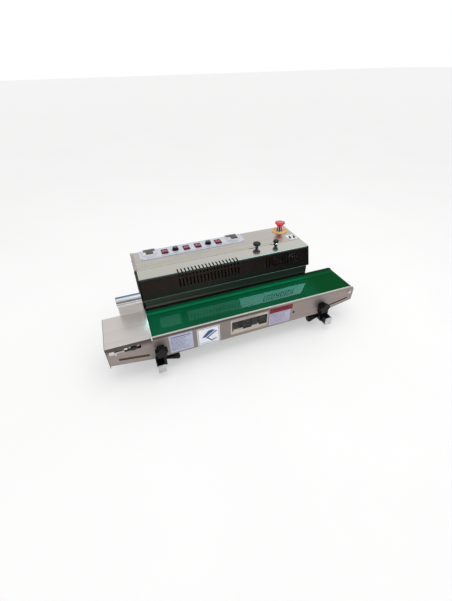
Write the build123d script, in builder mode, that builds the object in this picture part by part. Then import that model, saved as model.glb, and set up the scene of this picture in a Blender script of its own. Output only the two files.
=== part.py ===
from build123d import *
import math
import os

# Continuous band sealer. Millimetres, +Z up. The origin is on the floor under the middle of the
# machine's outline. Bags travel towards +X and the operator stands on the -Y side.

# ---------------------------------------------------------------- driving dimensions
SHEET = 1.5
FLOOR = 0.0
RUN_GAP = 0.05
SLIDE_GAP = 0.3

# conveyor
CONVEYOR_LEFT = -425.0
CONVEYOR_RIGHT = 430.0
CONVEYOR_FRONT = -153.0
CONVEYOR_BACK = -16.0
RAIL_TOP = 150.0
SIDE_PLATE = 2.0
PLATE_LEFT = -423.5
MID_BOTTOM = 60.0
TAPER_LEFT = -290.0
TAPER_RIGHT = 294.0
LEFT_END_BOTTOM = 79.0
RIGHT_MID_BOTTOM = 64.0
RIGHT_END_BOTTOM = 91.0
TOP_LIP = 4.5
BOTTOM_LIP = 10.0
STIFFENER_X = (-240.0, 270.0)
NOSE_R = 16.0
ROLLER_R = 17.0
BELT_THICK = 1.7
BELT_TOP = 148.0
ROLLER_Z = BELT_TOP - BELT_THICK - SLIDE_GAP - ROLLER_R
DRIVE_ROLLER_X = -345.0
TAIL_ROLLER_X = 412.0
BELT_FRONT = -147.5
BELT_BACK = -21.5
ROLLER_FRONT = -147.0
ROLLER_BACK = -22.0
TAIL_AXLE_R = 5.0
DRUM_CORE_R = 8.0
DRUM_AXLE_R = 6.0
COVER_RIGHT = -289.0
COVER_FLANGE = 12.0
COVER_END_DROP = 80.0
TAKE_UP_SLOT = (-373.0, -325.0)
TAKE_UP_HALF_HEIGHT = 7.0
TAKE_UP_SCREW_END = -398.0
TAKE_UP_TAB_END = -416.0
LEFT_SLOT = ((-396.0, 97.0), (-306.0, 83.0), 9.0)
RIGHT_SLOT = ((306.0, 84.0), (411.0, 103.0), 5.0)
TIE_BAR_X = (-150.0, 20.0, 190.0)
TIE_BAR_Z = 102.0
TIE_BAR_R = 4.0

# conveyor supports: bars fixed to the base, brackets that slide along them
BAR_X = {"left": -280.0, "right": 322.0}
INBOARD = {"left": 1.0, "right": -1.0}
BAR_HALF_WIDTH = 11.0
BAR_BOTTOM = 27.0
BAR_TOP = 55.0
BAR_FRONT = -182.0
BAR_BACK = 176.0
CAP_THICK = 4.0
BRACKET_WALL = 2.5
BRACKET_TOP_PLATE = 3.0
BRACKET_FRONT = -157.4
BRACKET_GRIP_BACK = -92.0
UPRIGHT = 4.0
UPRIGHT_TOP = 111.0
UPRIGHT_HALF = 11.0
REAR_UPRIGHT_Y = (-22.5, -18.5)
REAR_UPRIGHT_TOP = 100.0
LOCK_X = {"left": -271.0, "right": 300.0}
LOCK_Z = 101.0
KNOB_FRONT = -181.0
KNOB_THICK = 18.0
KNOB_BOSS = (KNOB_FRONT + KNOB_THICK, BRACKET_FRONT - 0.4)
LOCK_STUD_R = 4.0
HEIGHT_TRAVEL = 15.0
GUIDE_PIN_Z = 75.0
DEPTH_LOCK_Y = -145.0
DEPTH_LOCK_Z = 44.0
FOOT_Y = (-45.0, 160.0)
FOOT_R = 14.0

# sealing head
HEAD_LEFT = -295.0
HEAD_RIGHT = 319.0
HEAD_BACK = 186.0
HEAD_TOP = 257.0
BASE_BOTTOM = 55.0
SEAM_Y = 58.5
COVER_LEFT = -287.0
COVER_BEND_Y = -1.7
LIP_Y = -21.2
LIP_Z = 186.0
LIP_RETURN_Y = -12.0
GUARD_FRONT = -13.0
GUARD_TOP = 180.0
GUARD_TOP_BACK = -1.0
WALL_FRONT = 60.0
WALL_THICK = 3.0
CHEEK_FRONT = -8.0
CHEEK_THICK = 3.0
LEFT_CHEEK_X = -292.0
RIGHT_CHEEK_X = 312.0

# sealing bands and wheels
SEAL_Z = 183.0
BAND_GAP = 1.0
BAND_THICK = 1.0
BAND_FRONT = 2.0
BAND_BACK = 17.0
WHEEL_FRONT = 1.0
WHEEL_BACK = 18.0
WHEEL_R = 30.0
IDLER_X = -250.0
DRIVE_X = 270.0
SPINDLE_R = 6.0
BAND_INSIDE = BAND_GAP / 2 + BAND_THICK + SLIDE_GAP
UPPER_Z = SEAL_Z + BAND_INSIDE + WHEEL_R
LOWER_Z = SEAL_Z - BAND_INSIDE - WHEEL_R
GEAR_TEETH = 24
PINION_TEETH = 12
GEAR_PITCH_R = (UPPER_Z - LOWER_Z) / 2
PINION_PITCH_R = GEAR_PITCH_R * PINION_TEETH / GEAR_TEETH
GEAR_FRONT = 68.0
GEAR_BACK = 78.0
MOTOR_X = DRIVE_X - GEAR_PITCH_R - PINION_PITCH_R
PRESS_R = 14.5
PRESS_AXLE_R = 5.0
PRESS_STATIONS = {"a": 139.0, "b": 211.0}
PRESS_SCREW_Y = {"a": 54.0, "b": 46.0}
PRESS_SCREW_R = 4.0
PRESS_KNOB_R = {"a": 13.5, "b": 10.0}
HEATER_X = (-150.0, -10.0)
COOLER_X = (20.0, 100.0)
BLOCK_HEIGHT = 22.0

# infeed guides
GUIDE_LEFT = -368.0
GUIDE_Y = -14.0
GUIDE_R = 18.0
GUIDE_SLOT = (181.0, 186.0)

# controls on the top
PLATE_X = (-265.0, 123.0)
PLATE_Y = (118.0, 182.0)
PLATE_TOP = HEAD_TOP + SHEET
CONTROLLER_AT = ((-229.0, 161.0), (84.0, 161.0))
CONTROLLER_BEZEL = 46.0
CONTROLLER_BODY = 43.0
ROCKER_X = (-176.0, -97.0, -54.0, 24.0)
ROCKER_Y = 149.5
ROCKER_BEZEL = (23.0, 31.0)
ROCKER_BODY_HALF = (10.6, 14.6)
ROCKER_OPENING = (19.0, 27.4)
ROCKER_HALF_SPAN = 12.7
ROCKER_HALF_WIDTH = 9.0
ROCKER_PIN_R = 1.15
ROCKER_TILT = 10.0
ROCKER_PIVOT_Z = PLATE_TOP - 0.5
DIAL_X = {"a": -137.0, "b": -14.0}
DIAL_Y = 150.0
DIAL_R = 11.5
ESTOP_AT = (281.0, 150.0)
ESTOP_RING_R = 30.0
ESTOP_TOP = 295.0
INLET_AT = (-240.0, 92.0)
FAN_AT = (60.0, 195.0)
FAN_SIZE = 80.0
FAN_BORE_R = 36.0

os.makedirs("parts", exist_ok=True)


# ---------------------------------------------------------------- shared shapes
def span_box(x, y, z, mode=Mode.ADD):
    """A box between two X values, two Y values and two Z values."""
    with Locations(((x[0] + x[1]) / 2, (y[0] + y[1]) / 2, (z[0] + z[1]) / 2)):
        Box(x[1] - x[0], y[1] - y[0], z[1] - z[0], mode=mode)


def rod_x(radius, x, y, z, mode=Mode.ADD):
    """A cylinder along X."""
    with Locations(Location(((x[0] + x[1]) / 2, y, z), (0, 90, 0))):
        Cylinder(radius, x[1] - x[0], mode=mode)


def rod_y(radius, x, y, z, mode=Mode.ADD):
    """A cylinder along Y."""
    with Locations(Location((x, (y[0] + y[1]) / 2, z), (90, 0, 0))):
        Cylinder(radius, y[1] - y[0], mode=mode)


def rod_z(radius, x, y, z, mode=Mode.ADD):
    """A cylinder along Z."""
    with Locations((x, y, (z[0] + z[1]) / 2)):
        Cylinder(radius, z[1] - z[0], mode=mode)


def around(centre, half):
    """The two ends of a span about its middle."""
    return (centre - half, centre + half)


def bent_sheet(x, path, bend_radius, side):
    """Sheet metal that follows a path of (y, z) points, between two X values."""
    with BuildSketch(Plane.YZ.offset(x[0])) as profile:
        with BuildLine():
            FilletPolyline(*path, radius=bend_radius)
            offset(amount=SHEET, side=side)
        make_face()
    extrude(profile.sketch, amount=x[1] - x[0])


def belt_loop(x, z, inner_r, thickness, y):
    """A flat belt round two wheels of the same size."""
    with BuildSketch(Plane.XZ.offset(-y[0])) as profile:
        with Locations(((x[0] + x[1]) / 2, z)):
            SlotCenterToCenter(x[1] - x[0], 2 * (inner_r + thickness))
            SlotCenterToCenter(x[1] - x[0], 2 * inner_r, mode=Mode.SUBTRACT)
    extrude(profile.sketch, amount=y[0] - y[1])


def gear_points(teeth, pitch_r, phase):
    """A spur gear's outline with straight-flanked teeth, as points about its centre."""
    pitch = 2 * math.pi / teeth
    addendum = 0.85 * 2 * pitch_r / teeth
    dedendum = 1.1 * 2 * pitch_r / teeth
    points = []
    for tooth in range(teeth):
        middle = math.radians(phase) + tooth * pitch
        for share, radius in (
            (-0.31, pitch_r - dedendum),
            (-0.12, pitch_r + addendum),
            (0.12, pitch_r + addendum),
            (0.31, pitch_r - dedendum),
        ):
            angle = middle + share * pitch
            points.append((radius * math.cos(angle), radius * math.sin(angle)))
    return points


def gear_y(teeth, pitch_r, phase, x, z, y):
    """A spur gear on an axis along Y."""
    with BuildSketch(Plane.XZ.offset(-y[0])) as profile:
        with Locations((x, z)):
            Polygon(*gear_points(teeth, pitch_r, phase), align=None)
    extrude(profile.sketch, amount=y[0] - y[1])


# ---------------------------------------------------------------- base and supports
def make_base_pan():
    rim = 18.0
    inside_x = (HEAD_LEFT + SHEET, HEAD_RIGHT - SHEET)
    inside_y = (GUARD_FRONT + SHEET, HEAD_BACK - SHEET)
    with BuildPart() as base_pan:
        span_box(inside_x, inside_y, (BASE_BOTTOM, BASE_BOTTOM + rim))
        hollow_x = (inside_x[0] + SHEET, inside_x[1] - SHEET)
        hollow_y = (inside_y[0] + SHEET, inside_y[1] - SHEET)
        span_box(hollow_x, hollow_y, (BASE_BOTTOM + SHEET, BASE_BOTTOM + rim), Mode.SUBTRACT)
    base_pan.part.label = "base_pan"
    export_step(base_pan.part, "parts/base_pan.step")


def make_support_bars():
    with BuildPart() as support_bars:
        for x in BAR_X.values():
            span_box(around(x, BAR_HALF_WIDTH), (BAR_FRONT, BAR_BACK), (BAR_BOTTOM, BAR_TOP))
    support_bars.part.label = "support_bars"
    export_step(support_bars.part, "parts/support_bars.step")


def make_bar_end_caps():
    overhang = 1.0
    cap_z = (BAR_BOTTOM - overhang, BAR_TOP + overhang)
    with BuildPart() as bar_end_caps:
        for x in BAR_X.values():
            cap_x = around(x, BAR_HALF_WIDTH + overhang)
            span_box(cap_x, (BAR_FRONT - CAP_THICK, BAR_FRONT), cap_z)
            span_box(cap_x, (BAR_BACK, BAR_BACK + CAP_THICK), (cap_z[0], BAR_TOP))
        outer = bar_end_caps.faces().sort_by(Axis.Y)[:2]
        chamfer(outer.edges(), length=1.0)
    bar_end_caps.part.label = "bar_end_caps"
    export_step(bar_end_caps.part, "parts/bar_end_caps.step")


def make_rubber_feet():
    sole_r = 17.0
    with BuildPart() as rubber_feet:
        for x in BAR_X.values():
            for y in FOOT_Y:
                with Locations((x, y, FLOOR)):
                    Cone(sole_r, FOOT_R, BAR_BOTTOM, align=(Align.CENTER, Align.CENTER, Align.MIN))
    rubber_feet.part.label = "rubber_feet"
    export_step(rubber_feet.part, "parts/rubber_feet.step")


def upright_outline(side):
    """The front upright: straight above its bar, and leaning towards the lock stud."""
    x = BAR_X[side]
    lock_x = LOCK_X[side]
    grip_half = BAR_HALF_WIDTH + SLIDE_GAP + BRACKET_WALL
    grip_bottom = BAR_BOTTOM - SLIDE_GAP - BRACKET_WALL + 1.0
    grip_top = BAR_TOP + SLIDE_GAP + BRACKET_TOP_PLATE
    near = min(x - grip_half, lock_x - UPRIGHT_HALF)
    far = max(x + grip_half, lock_x + UPRIGHT_HALF)
    if lock_x < x - grip_half:
        return (
            (x - grip_half, grip_bottom),
            (x + grip_half, grip_bottom),
            (x + grip_half, grip_top + 2.0),
            (lock_x + UPRIGHT_HALF, UPRIGHT_TOP),
            (near, UPRIGHT_TOP),
            (near, LOCK_Z - 2 * UPRIGHT_HALF),
        )
    return (
        (x - grip_half, grip_bottom),
        (far, grip_bottom),
        (far, UPRIGHT_TOP),
        (lock_x - UPRIGHT_HALF, UPRIGHT_TOP),
        (x - grip_half, grip_top + 2.0),
    )


def make_carriage_brackets():
    """Each bracket grips its bar and stands up in front of and behind the conveyor."""
    grip_half = BAR_HALF_WIDTH + SLIDE_GAP + BRACKET_WALL
    grip_bottom = BAR_BOTTOM - SLIDE_GAP - BRACKET_WALL + 1.0
    grip_top = BAR_TOP + SLIDE_GAP + BRACKET_TOP_PLATE
    slot_half = LOCK_STUD_R + 0.4
    upright_y = (BRACKET_FRONT, BRACKET_FRONT + UPRIGHT)
    with BuildPart() as carriage_brackets:
        for side, x in BAR_X.items():
            span_box(
                around(x, grip_half), (BRACKET_FRONT, BRACKET_GRIP_BACK), (grip_bottom, grip_top)
            )
            plate_z = (BAR_TOP + SLIDE_GAP, grip_top)
            span_box(around(x, grip_half), (BRACKET_GRIP_BACK, REAR_UPRIGHT_Y[1]), plate_z)
            span_box(around(x, grip_half - 2.0), REAR_UPRIGHT_Y, (grip_top, REAR_UPRIGHT_TOP))
            with BuildSketch(Plane.XZ.offset(-upright_y[0])) as outline:
                Polygon(*upright_outline(side), align=None)
            extrude(outline.sketch, amount=-UPRIGHT)
            rod_y(LOCK_STUD_R + RUN_GAP, LOCK_X[side], upright_y, LOCK_Z, Mode.SUBTRACT)
            pin_z = (GUIDE_PIN_Z - slot_half, GUIDE_PIN_Z + HEIGHT_TRAVEL + slot_half)
            span_box(around(x, slot_half), REAR_UPRIGHT_Y, pin_z, Mode.SUBTRACT)
            tunnel_x = around(x, BAR_HALF_WIDTH + SLIDE_GAP)
            tunnel_z = (BAR_BOTTOM - SLIDE_GAP, BAR_TOP + SLIDE_GAP)
            span_box(tunnel_x, (BRACKET_FRONT, BRACKET_GRIP_BACK), tunnel_z, Mode.SUBTRACT)
            wall_x = sorted((x, x + INBOARD[side] * (grip_half + 1.0)))
            stud_r = LOCK_STUD_R + RUN_GAP
            rod_x(stud_r, wall_x, DEPTH_LOCK_Y, DEPTH_LOCK_Z, Mode.SUBTRACT)
        upright_tops = carriage_brackets.edges().filter_by(Axis.Y).group_by(Axis.Z)[-1]
        fillet(upright_tops, radius=5.0)
    carriage_brackets.part.label = "carriage_brackets"
    export_step(carriage_brackets.part, "parts/carriage_brackets.step")


def make_height_lock_knob(side):
    """A lobed hand knob whose stud passes the upright into the front plate's height slot."""
    x = LOCK_X[side]
    lobes = 5
    with BuildPart() as knob:
        with BuildSketch(Plane.XZ.offset(-KNOB_FRONT)) as outline:
            with Locations((x, LOCK_Z)):
                Circle(15.5)
                with PolarLocations(13.5, lobes, start_angle=90):
                    Circle(6.5)
            fillet(outline.vertices(), radius=2.5)
        extrude(amount=-KNOB_THICK)
        chamfer(knob.edges().group_by(Axis.Y)[0], length=1.2)
        rod_y(9.0, x, KNOB_BOSS, LOCK_Z)
        rod_y(LOCK_STUD_R, x, (KNOB_BOSS[1], CONVEYOR_FRONT + 7.0), LOCK_Z)
    knob.part.label = f"height_lock_knob_{side}"
    export_step(knob.part, f"parts/height_lock_knob_{side}.step")


def make_depth_lock_knob(side):
    """A fluted, tapered clamp knob that points inboard under the conveyor."""
    inboard = INBOARD[side]
    tip = BAR_HALF_WIDTH + 0.2
    wall_end = BAR_HALF_WIDTH + SLIDE_GAP + BRACKET_WALL + 0.3
    neck_end = wall_end + 6.0
    grip_end = neck_end + 44.0
    grip_r = 13.5
    neck_r = 5.0
    with BuildPart() as knob:
        with BuildSketch(Plane.XY) as profile:
            with BuildLine():
                Polyline(
                    (tip, 0.0),
                    (tip, LOCK_STUD_R),
                    (wall_end, LOCK_STUD_R),
                    (wall_end, neck_r),
                    (neck_end, neck_r),
                    (grip_end - 8.0, grip_r),
                    (grip_end - 3.0, grip_r),
                    (grip_end, grip_r - 4.0),
                    (grip_end, 0.0),
                    close=True,
                )
            make_face()
        revolve(axis=Axis.X)
        for flute in range(6):
            angle = math.radians(60.0 * flute + 30.0)
            y = (grip_r + 1.6) * math.cos(angle)
            z = (grip_r + 1.6) * math.sin(angle)
            rod_x(3.2, (neck_end + 20.0, grip_end + 1.0), y, z, Mode.SUBTRACT)
    turned = knob.part if inboard > 0 else knob.part.mirror(Plane.YZ)
    placed = Pos(BAR_X[side], DEPTH_LOCK_Y, DEPTH_LOCK_Z) * turned
    placed.label = f"depth_lock_knob_{side}"
    export_step(placed, f"parts/depth_lock_knob_{side}.step")


# ---------------------------------------------------------------- conveyor
def side_plate(y_outer, thickness):
    """The long plate: level top, tapered ends, and a round nose round the tail roller."""
    with BuildSketch(Plane.XZ.offset(-y_outer)) as profile:
        with BuildLine():
            Polyline(
                (PLATE_LEFT, RAIL_TOP),
                (CONVEYOR_RIGHT, RAIL_TOP),
                (CONVEYOR_RIGHT - 1.0, RIGHT_END_BOTTOM),
                (TAPER_RIGHT, RIGHT_MID_BOTTOM),
                (TAPER_LEFT, MID_BOTTOM),
                (PLATE_LEFT, LEFT_END_BOTTOM),
                close=True,
            )
        make_face()
        nose = profile.vertices().group_by(Axis.X)[-1].sort_by(Axis.Y)
        fillet(nose[-1], radius=NOSE_R)
    extrude(profile.sketch, amount=thickness)


def taper_slot(start, end, height):
    """A long slot that follows a tapered bottom edge."""
    middle = ((start[0] + end[0]) / 2, (start[1] + end[1]) / 2)
    run = math.dist(start, end)
    angle = math.degrees(math.atan2(end[1] - start[1], end[0] - start[0]))
    with BuildSketch(Plane.XZ.offset(-CONVEYOR_FRONT)) as profile:
        with Locations(Location((middle[0], middle[1], 0), angle)):
            SlotOverall(run, height)
    extrude(profile.sketch, amount=-SIDE_PLATE, mode=Mode.SUBTRACT)


def make_conveyor_front_plate():
    plate_y = (CONVEYOR_FRONT, CONVEYOR_FRONT + SIDE_PLATE)
    with BuildPart() as front_plate:
        side_plate(plate_y[0], -SIDE_PLATE)
        lip_x = (COVER_RIGHT, CONVEYOR_RIGHT - NOSE_R - 2.0)
        span_box(lip_x, (plate_y[1], plate_y[0] + TOP_LIP), (RAIL_TOP - SHEET, RAIL_TOP))
        lip_y = (plate_y[1], plate_y[1] + BOTTOM_LIP)
        span_box(STIFFENER_X, lip_y, (RIGHT_MID_BOTTOM, RIGHT_MID_BOTTOM + SHEET))
        take_up_z = around(ROLLER_Z, TAKE_UP_HALF_HEIGHT)
        span_box(TAKE_UP_SLOT, plate_y, take_up_z, Mode.SUBTRACT)
        taper_slot(*LEFT_SLOT)
        taper_slot(*RIGHT_SLOT)
        rod_y(TAIL_AXLE_R, TAIL_ROLLER_X, plate_y, ROLLER_Z, Mode.SUBTRACT)
        slot_half = LOCK_STUD_R + 0.4
        for lock_x in LOCK_X.values():
            slot_z = (LOCK_Z - HEIGHT_TRAVEL - slot_half, LOCK_Z + slot_half)
            span_box(around(lock_x, slot_half), plate_y, slot_z, Mode.SUBTRACT)
    front_plate.part.label = "conveyor_front_plate"
    export_step(front_plate.part, "parts/conveyor_front_plate.step")


def make_conveyor_rear_plate():
    plate_y = (CONVEYOR_BACK - SIDE_PLATE, CONVEYOR_BACK)
    with BuildPart() as rear_plate:
        side_plate(plate_y[1], SIDE_PLATE)
        lip_x = (COVER_RIGHT, CONVEYOR_RIGHT - NOSE_R - 2.0)
        span_box(lip_x, (plate_y[1] - TOP_LIP, plate_y[0]), (RAIL_TOP - SHEET, RAIL_TOP))
        lip_y = (plate_y[0] - BOTTOM_LIP, plate_y[0])
        span_box(STIFFENER_X, lip_y, (RIGHT_MID_BOTTOM, RIGHT_MID_BOTTOM + SHEET))
        rod_y(DRUM_AXLE_R, DRIVE_ROLLER_X, plate_y, ROLLER_Z, Mode.SUBTRACT)
        rod_y(TAIL_AXLE_R, TAIL_ROLLER_X, plate_y, ROLLER_Z, Mode.SUBTRACT)
        for x in BAR_X.values():
            rod_y(LOCK_STUD_R, x, (REAR_UPRIGHT_Y[0] - 1.5, plate_y[0]), GUIDE_PIN_Z)
    rear_plate.part.label = "conveyor_rear_plate"
    export_step(rear_plate.part, "parts/conveyor_rear_plate.step")


def make_infeed_cover_plate():
    """The steel plate over the infeed end, with a front flange and a long drop at its left end."""
    top = RAIL_TOP + SHEET
    flange_y = (CONVEYOR_FRONT - SHEET, CONVEYOR_FRONT)
    with BuildPart() as cover_plate:
        span_box((CONVEYOR_LEFT, COVER_RIGHT), (flange_y[0], CONVEYOR_BACK), (RAIL_TOP, top))
        span_box((CONVEYOR_LEFT, COVER_RIGHT), flange_y, (top - COVER_FLANGE, RAIL_TOP))
        drop_z = (RAIL_TOP - COVER_END_DROP, RAIL_TOP)
        span_box((CONVEYOR_LEFT, PLATE_LEFT), (CONVEYOR_FRONT, CONVEYOR_BACK), drop_z)
        hem = cover_plate.edges().filter_by(Axis.Y).group_by(Axis.Z)[-1].sort_by(Axis.X)[0]
        fillet(hem, radius=1.2)
        span_box((COVER_RIGHT - 3.0, COVER_RIGHT), (CONVEYOR_FRONT, CONVEYOR_BACK), (top, top + 0.8))
    cover_plate.part.label = "infeed_cover_plate"
    export_step(cover_plate.part, "parts/infeed_cover_plate.step")


def make_slider_bed():
    """The flat bed that the belt's top run slides on, flanged down against both side plates."""
    bed_top = BELT_TOP - BELT_THICK - SLIDE_GAP
    inner_y = (CONVEYOR_FRONT + SIDE_PLATE, CONVEYOR_BACK - SIDE_PLATE)
    bed_x = (DRIVE_ROLLER_X + ROLLER_R + 10.0, TAIL_ROLLER_X - ROLLER_R - 10.0)
    flange_z = (bed_top - 10.0, bed_top - SIDE_PLATE)
    with BuildPart() as slider_bed:
        span_box(bed_x, inner_y, (bed_top - SIDE_PLATE, bed_top))
        span_box(bed_x, (inner_y[0], inner_y[0] + SHEET), flange_z)
        span_box(bed_x, (inner_y[1] - SHEET, inner_y[1]), flange_z)
    slider_bed.part.label = "slider_bed"
    export_step(slider_bed.part, "parts/slider_bed.step")


def make_tie_bars():
    """Round bars that hold the side plates apart, one with its screw head showing in front."""
    inner_y = (CONVEYOR_FRONT + SIDE_PLATE, CONVEYOR_BACK - SIDE_PLATE)
    with BuildPart() as tie_bars:
        for x in TIE_BAR_X:
            rod_y(TIE_BAR_R, x, inner_y, TIE_BAR_Z)
        with Locations(Location((TIE_BAR_X[-1], CONVEYOR_FRONT, TIE_BAR_Z), (90, 0, 0))):
            Cone(4.5, 3.0, 2.2, align=(Align.CENTER, Align.CENTER, Align.MIN))
    tie_bars.part.label = "tie_bars"
    export_step(tie_bars.part, "parts/tie_bars.step")


def make_conveyor_belt():
    with BuildPart() as conveyor_belt:
        belt_loop(
            (DRIVE_ROLLER_X, TAIL_ROLLER_X),
            ROLLER_Z,
            ROLLER_R + SLIDE_GAP,
            BELT_THICK,
            (BELT_FRONT, BELT_BACK),
        )
    conveyor_belt.part.label = "conveyor_belt"
    export_step(conveyor_belt.part, "parts/conveyor_belt.step")


def make_roller_axles():
    """The tail roller's bolt, and the drum motor's fixed core with its take-up block and screw."""
    front = CONVEYOR_FRONT
    washer = 1.0
    with BuildPart() as roller_axles:
        rod_y(TAIL_AXLE_R, TAIL_ROLLER_X, (front, CONVEYOR_BACK), ROLLER_Z)
        rod_y(6.5, TAIL_ROLLER_X, (front - washer, front), ROLLER_Z)
        with BuildSketch(Plane.XZ.offset(-front + washer)):
            with Locations((TAIL_ROLLER_X, ROLLER_Z)):
                RegularPolygon(5.0, 6)
        extrude(amount=2.4)
        rod_y(DRUM_CORE_R, DRIVE_ROLLER_X, (ROLLER_FRONT, ROLLER_BACK), ROLLER_Z)
        rod_y(DRUM_AXLE_R, DRIVE_ROLLER_X, (front - 4.0, CONVEYOR_BACK), ROLLER_Z)
        block_x = around(DRIVE_ROLLER_X, 9.0)
        block_z = around(ROLLER_Z, TAKE_UP_HALF_HEIGHT)
        span_box(block_x, (front, front + SIDE_PLATE), block_z)
        head_x = TAKE_UP_SCREW_END
        rod_x(2.5, (head_x + 2.0, block_x[0]), front - 2.5, ROLLER_Z)
        span_box((block_x[0], block_x[0] + 4.0), (front - 5.0, front), around(ROLLER_Z, 4.0))
        bracket_z = around(ROLLER_Z, TAKE_UP_HALF_HEIGHT - 0.5)
        span_box((head_x, head_x + 3.0), (front - 8.0, front), bracket_z)
        span_box((TAKE_UP_TAB_END, head_x + 3.0), (front - SHEET, front), bracket_z)
        rod_x(4.5, (head_x - 4.0, head_x), front - 4.5, ROLLER_Z)
    roller_axles.part.label = "roller_axles"
    export_step(roller_axles.part, "parts/roller_axles.step")


def make_conveyor_roller(name, x, bore_r):
    with BuildPart() as roller:
        rod_y(ROLLER_R, x, (ROLLER_FRONT, ROLLER_BACK), ROLLER_Z)
        chamfer(roller.edges().filter_by(GeomType.CIRCLE), length=0.8)
        rod_y(bore_r + RUN_GAP, x, (ROLLER_FRONT, ROLLER_BACK), ROLLER_Z, Mode.SUBTRACT)
    roller.part.label = name
    export_step(roller.part, f"parts/{name}.step")


# ---------------------------------------------------------------- head casing
def top_cut_outs():
    """Openings in the top sheet and the control plate for everything mounted through them."""
    deep = (HEAD_TOP - 5.0, PLATE_TOP + 5.0)
    for x, y in CONTROLLER_AT:
        half = CONTROLLER_BODY / 2
        span_box(around(x, half), around(y, half), deep, Mode.SUBTRACT)
    for x in ROCKER_X:
        body_x = around(x, ROCKER_BODY_HALF[0])
        span_box(body_x, around(ROCKER_Y, ROCKER_BODY_HALF[1]), deep, Mode.SUBTRACT)
    for x in DIAL_X.values():
        rod_z(3.0 + RUN_GAP, x, DIAL_Y, deep, Mode.SUBTRACT)


def make_housing_shell():
    """One bent sheet: the top behind the seam, and the back with its air slots."""
    inner_x = (HEAD_LEFT + SHEET, HEAD_RIGHT - SHEET)
    slot_count = 12
    with BuildPart() as housing_shell:
        path = ((SEAM_Y, HEAD_TOP), (HEAD_BACK, HEAD_TOP), (HEAD_BACK, BASE_BOTTOM))
        bent_sheet(inner_x, path, 3.0, Side.RIGHT)
        top_cut_outs()
        rod_z(11.5, *ESTOP_AT, (HEAD_TOP - 5.0, HEAD_TOP + 5.0), Mode.SUBTRACT)
        for group_x in (-120.0, 120.0):
            for index in range(slot_count):
                x = group_x + (index - (slot_count - 1) / 2) * 10.0
                span_box(around(x, 2.2), (HEAD_BACK - 3.0, HEAD_BACK + 1.0), (190.0, 232.0), Mode.SUBTRACT)
        inlet_x, inlet_z = INLET_AT
        inlet_y = (HEAD_BACK - 3.0, HEAD_BACK + 1.0)
        span_box(around(inlet_x, 14.0), inlet_y, around(inlet_z, 10.0), Mode.SUBTRACT)
    housing_shell.part.label = "housing_shell"
    export_step(housing_shell.part, "parts/housing_shell.step")


def make_left_end_panel():
    """The left side sheet, which folds over the top as an 11 mm flange."""
    flange = 11.0
    with BuildPart() as left_panel:
        wall_x = (HEAD_LEFT, HEAD_LEFT + SHEET)
        span_box(wall_x, (SEAM_Y, HEAD_BACK), (BASE_BOTTOM, HEAD_TOP + 1.2))
        span_box((wall_x[1], HEAD_LEFT + flange), (SEAM_Y, HEAD_BACK - 3.0), (HEAD_TOP, HEAD_TOP + 1.2))
        bend = left_panel.edges().filter_by(Axis.Y).group_by(Axis.Z)[-1].sort_by(Axis.X)[0]
        fillet(bend, radius=1.4)
    left_panel.part.label = "left_end_panel"
    export_step(left_panel.part, "parts/left_end_panel.step")


def make_right_end_panel():
    with BuildPart() as right_panel:
        wall_x = (HEAD_RIGHT - SHEET, HEAD_RIGHT)
        span_box(wall_x, (SEAM_Y, HEAD_BACK), (BASE_BOTTOM, HEAD_TOP))
    right_panel.part.label = "right_end_panel"
    export_step(right_panel.part, "parts/right_end_panel.step")


def make_mounting_frame():
    """The upright wall that carries the shafts, with cheeks that leave the film's way open."""
    cheek_y = (CHEEK_FRONT, WALL_FRONT)
    inner_bottom = BASE_BOTTOM + SHEET
    with BuildPart() as mounting_frame:
        wall_x = (HEAD_LEFT + 2 * SHEET, HEAD_RIGHT - 2 * SHEET)
        wall_y = (WALL_FRONT, WALL_FRONT + WALL_THICK)
        span_box(wall_x, wall_y, (inner_bottom, HEAD_TOP - SHEET))
        for x in (IDLER_X, DRIVE_X):
            for z in (UPPER_Z, LOWER_Z):
                rod_y(11.0, x, wall_y, z, Mode.SUBTRACT)
        rod_y(FAN_BORE_R - 2.0, FAN_AT[0], wall_y, FAN_AT[1], Mode.SUBTRACT)
        for x in (LEFT_CHEEK_X, RIGHT_CHEEK_X):
            cheek_x = (x, x + CHEEK_THICK)
            span_box(cheek_x, (GUARD_FRONT + 2 * SHEET, WALL_FRONT), (inner_bottom, 177.0))
            with BuildSketch(Plane.YZ.offset(x)):
                Polygon(
                    (WALL_FRONT, 190.0),
                    (WALL_FRONT, 254.0),
                    (CHEEK_FRONT + 12.0, 254.0),
                    (CHEEK_FRONT, 190.0),
                    align=None,
                )
            extrude(amount=CHEEK_THICK)
    mounting_frame.part.label = "mounting_frame"
    export_step(mounting_frame.part, "parts/mounting_frame.step")


def make_lower_guard():
    """The sheet under the film slot: a front wall with its top edge folded back."""
    with BuildPart() as lower_guard:
        path = (
            (GUARD_TOP_BACK, GUARD_TOP),
            (GUARD_FRONT, GUARD_TOP),
            (GUARD_FRONT, BASE_BOTTOM),
        )
        bent_sheet((HEAD_LEFT + 4.0, HEAD_RIGHT - 4.0), path, 2.5, Side.LEFT)
    lower_guard.part.label = "lower_guard"
    export_step(lower_guard.part, "parts/lower_guard.step")


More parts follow.
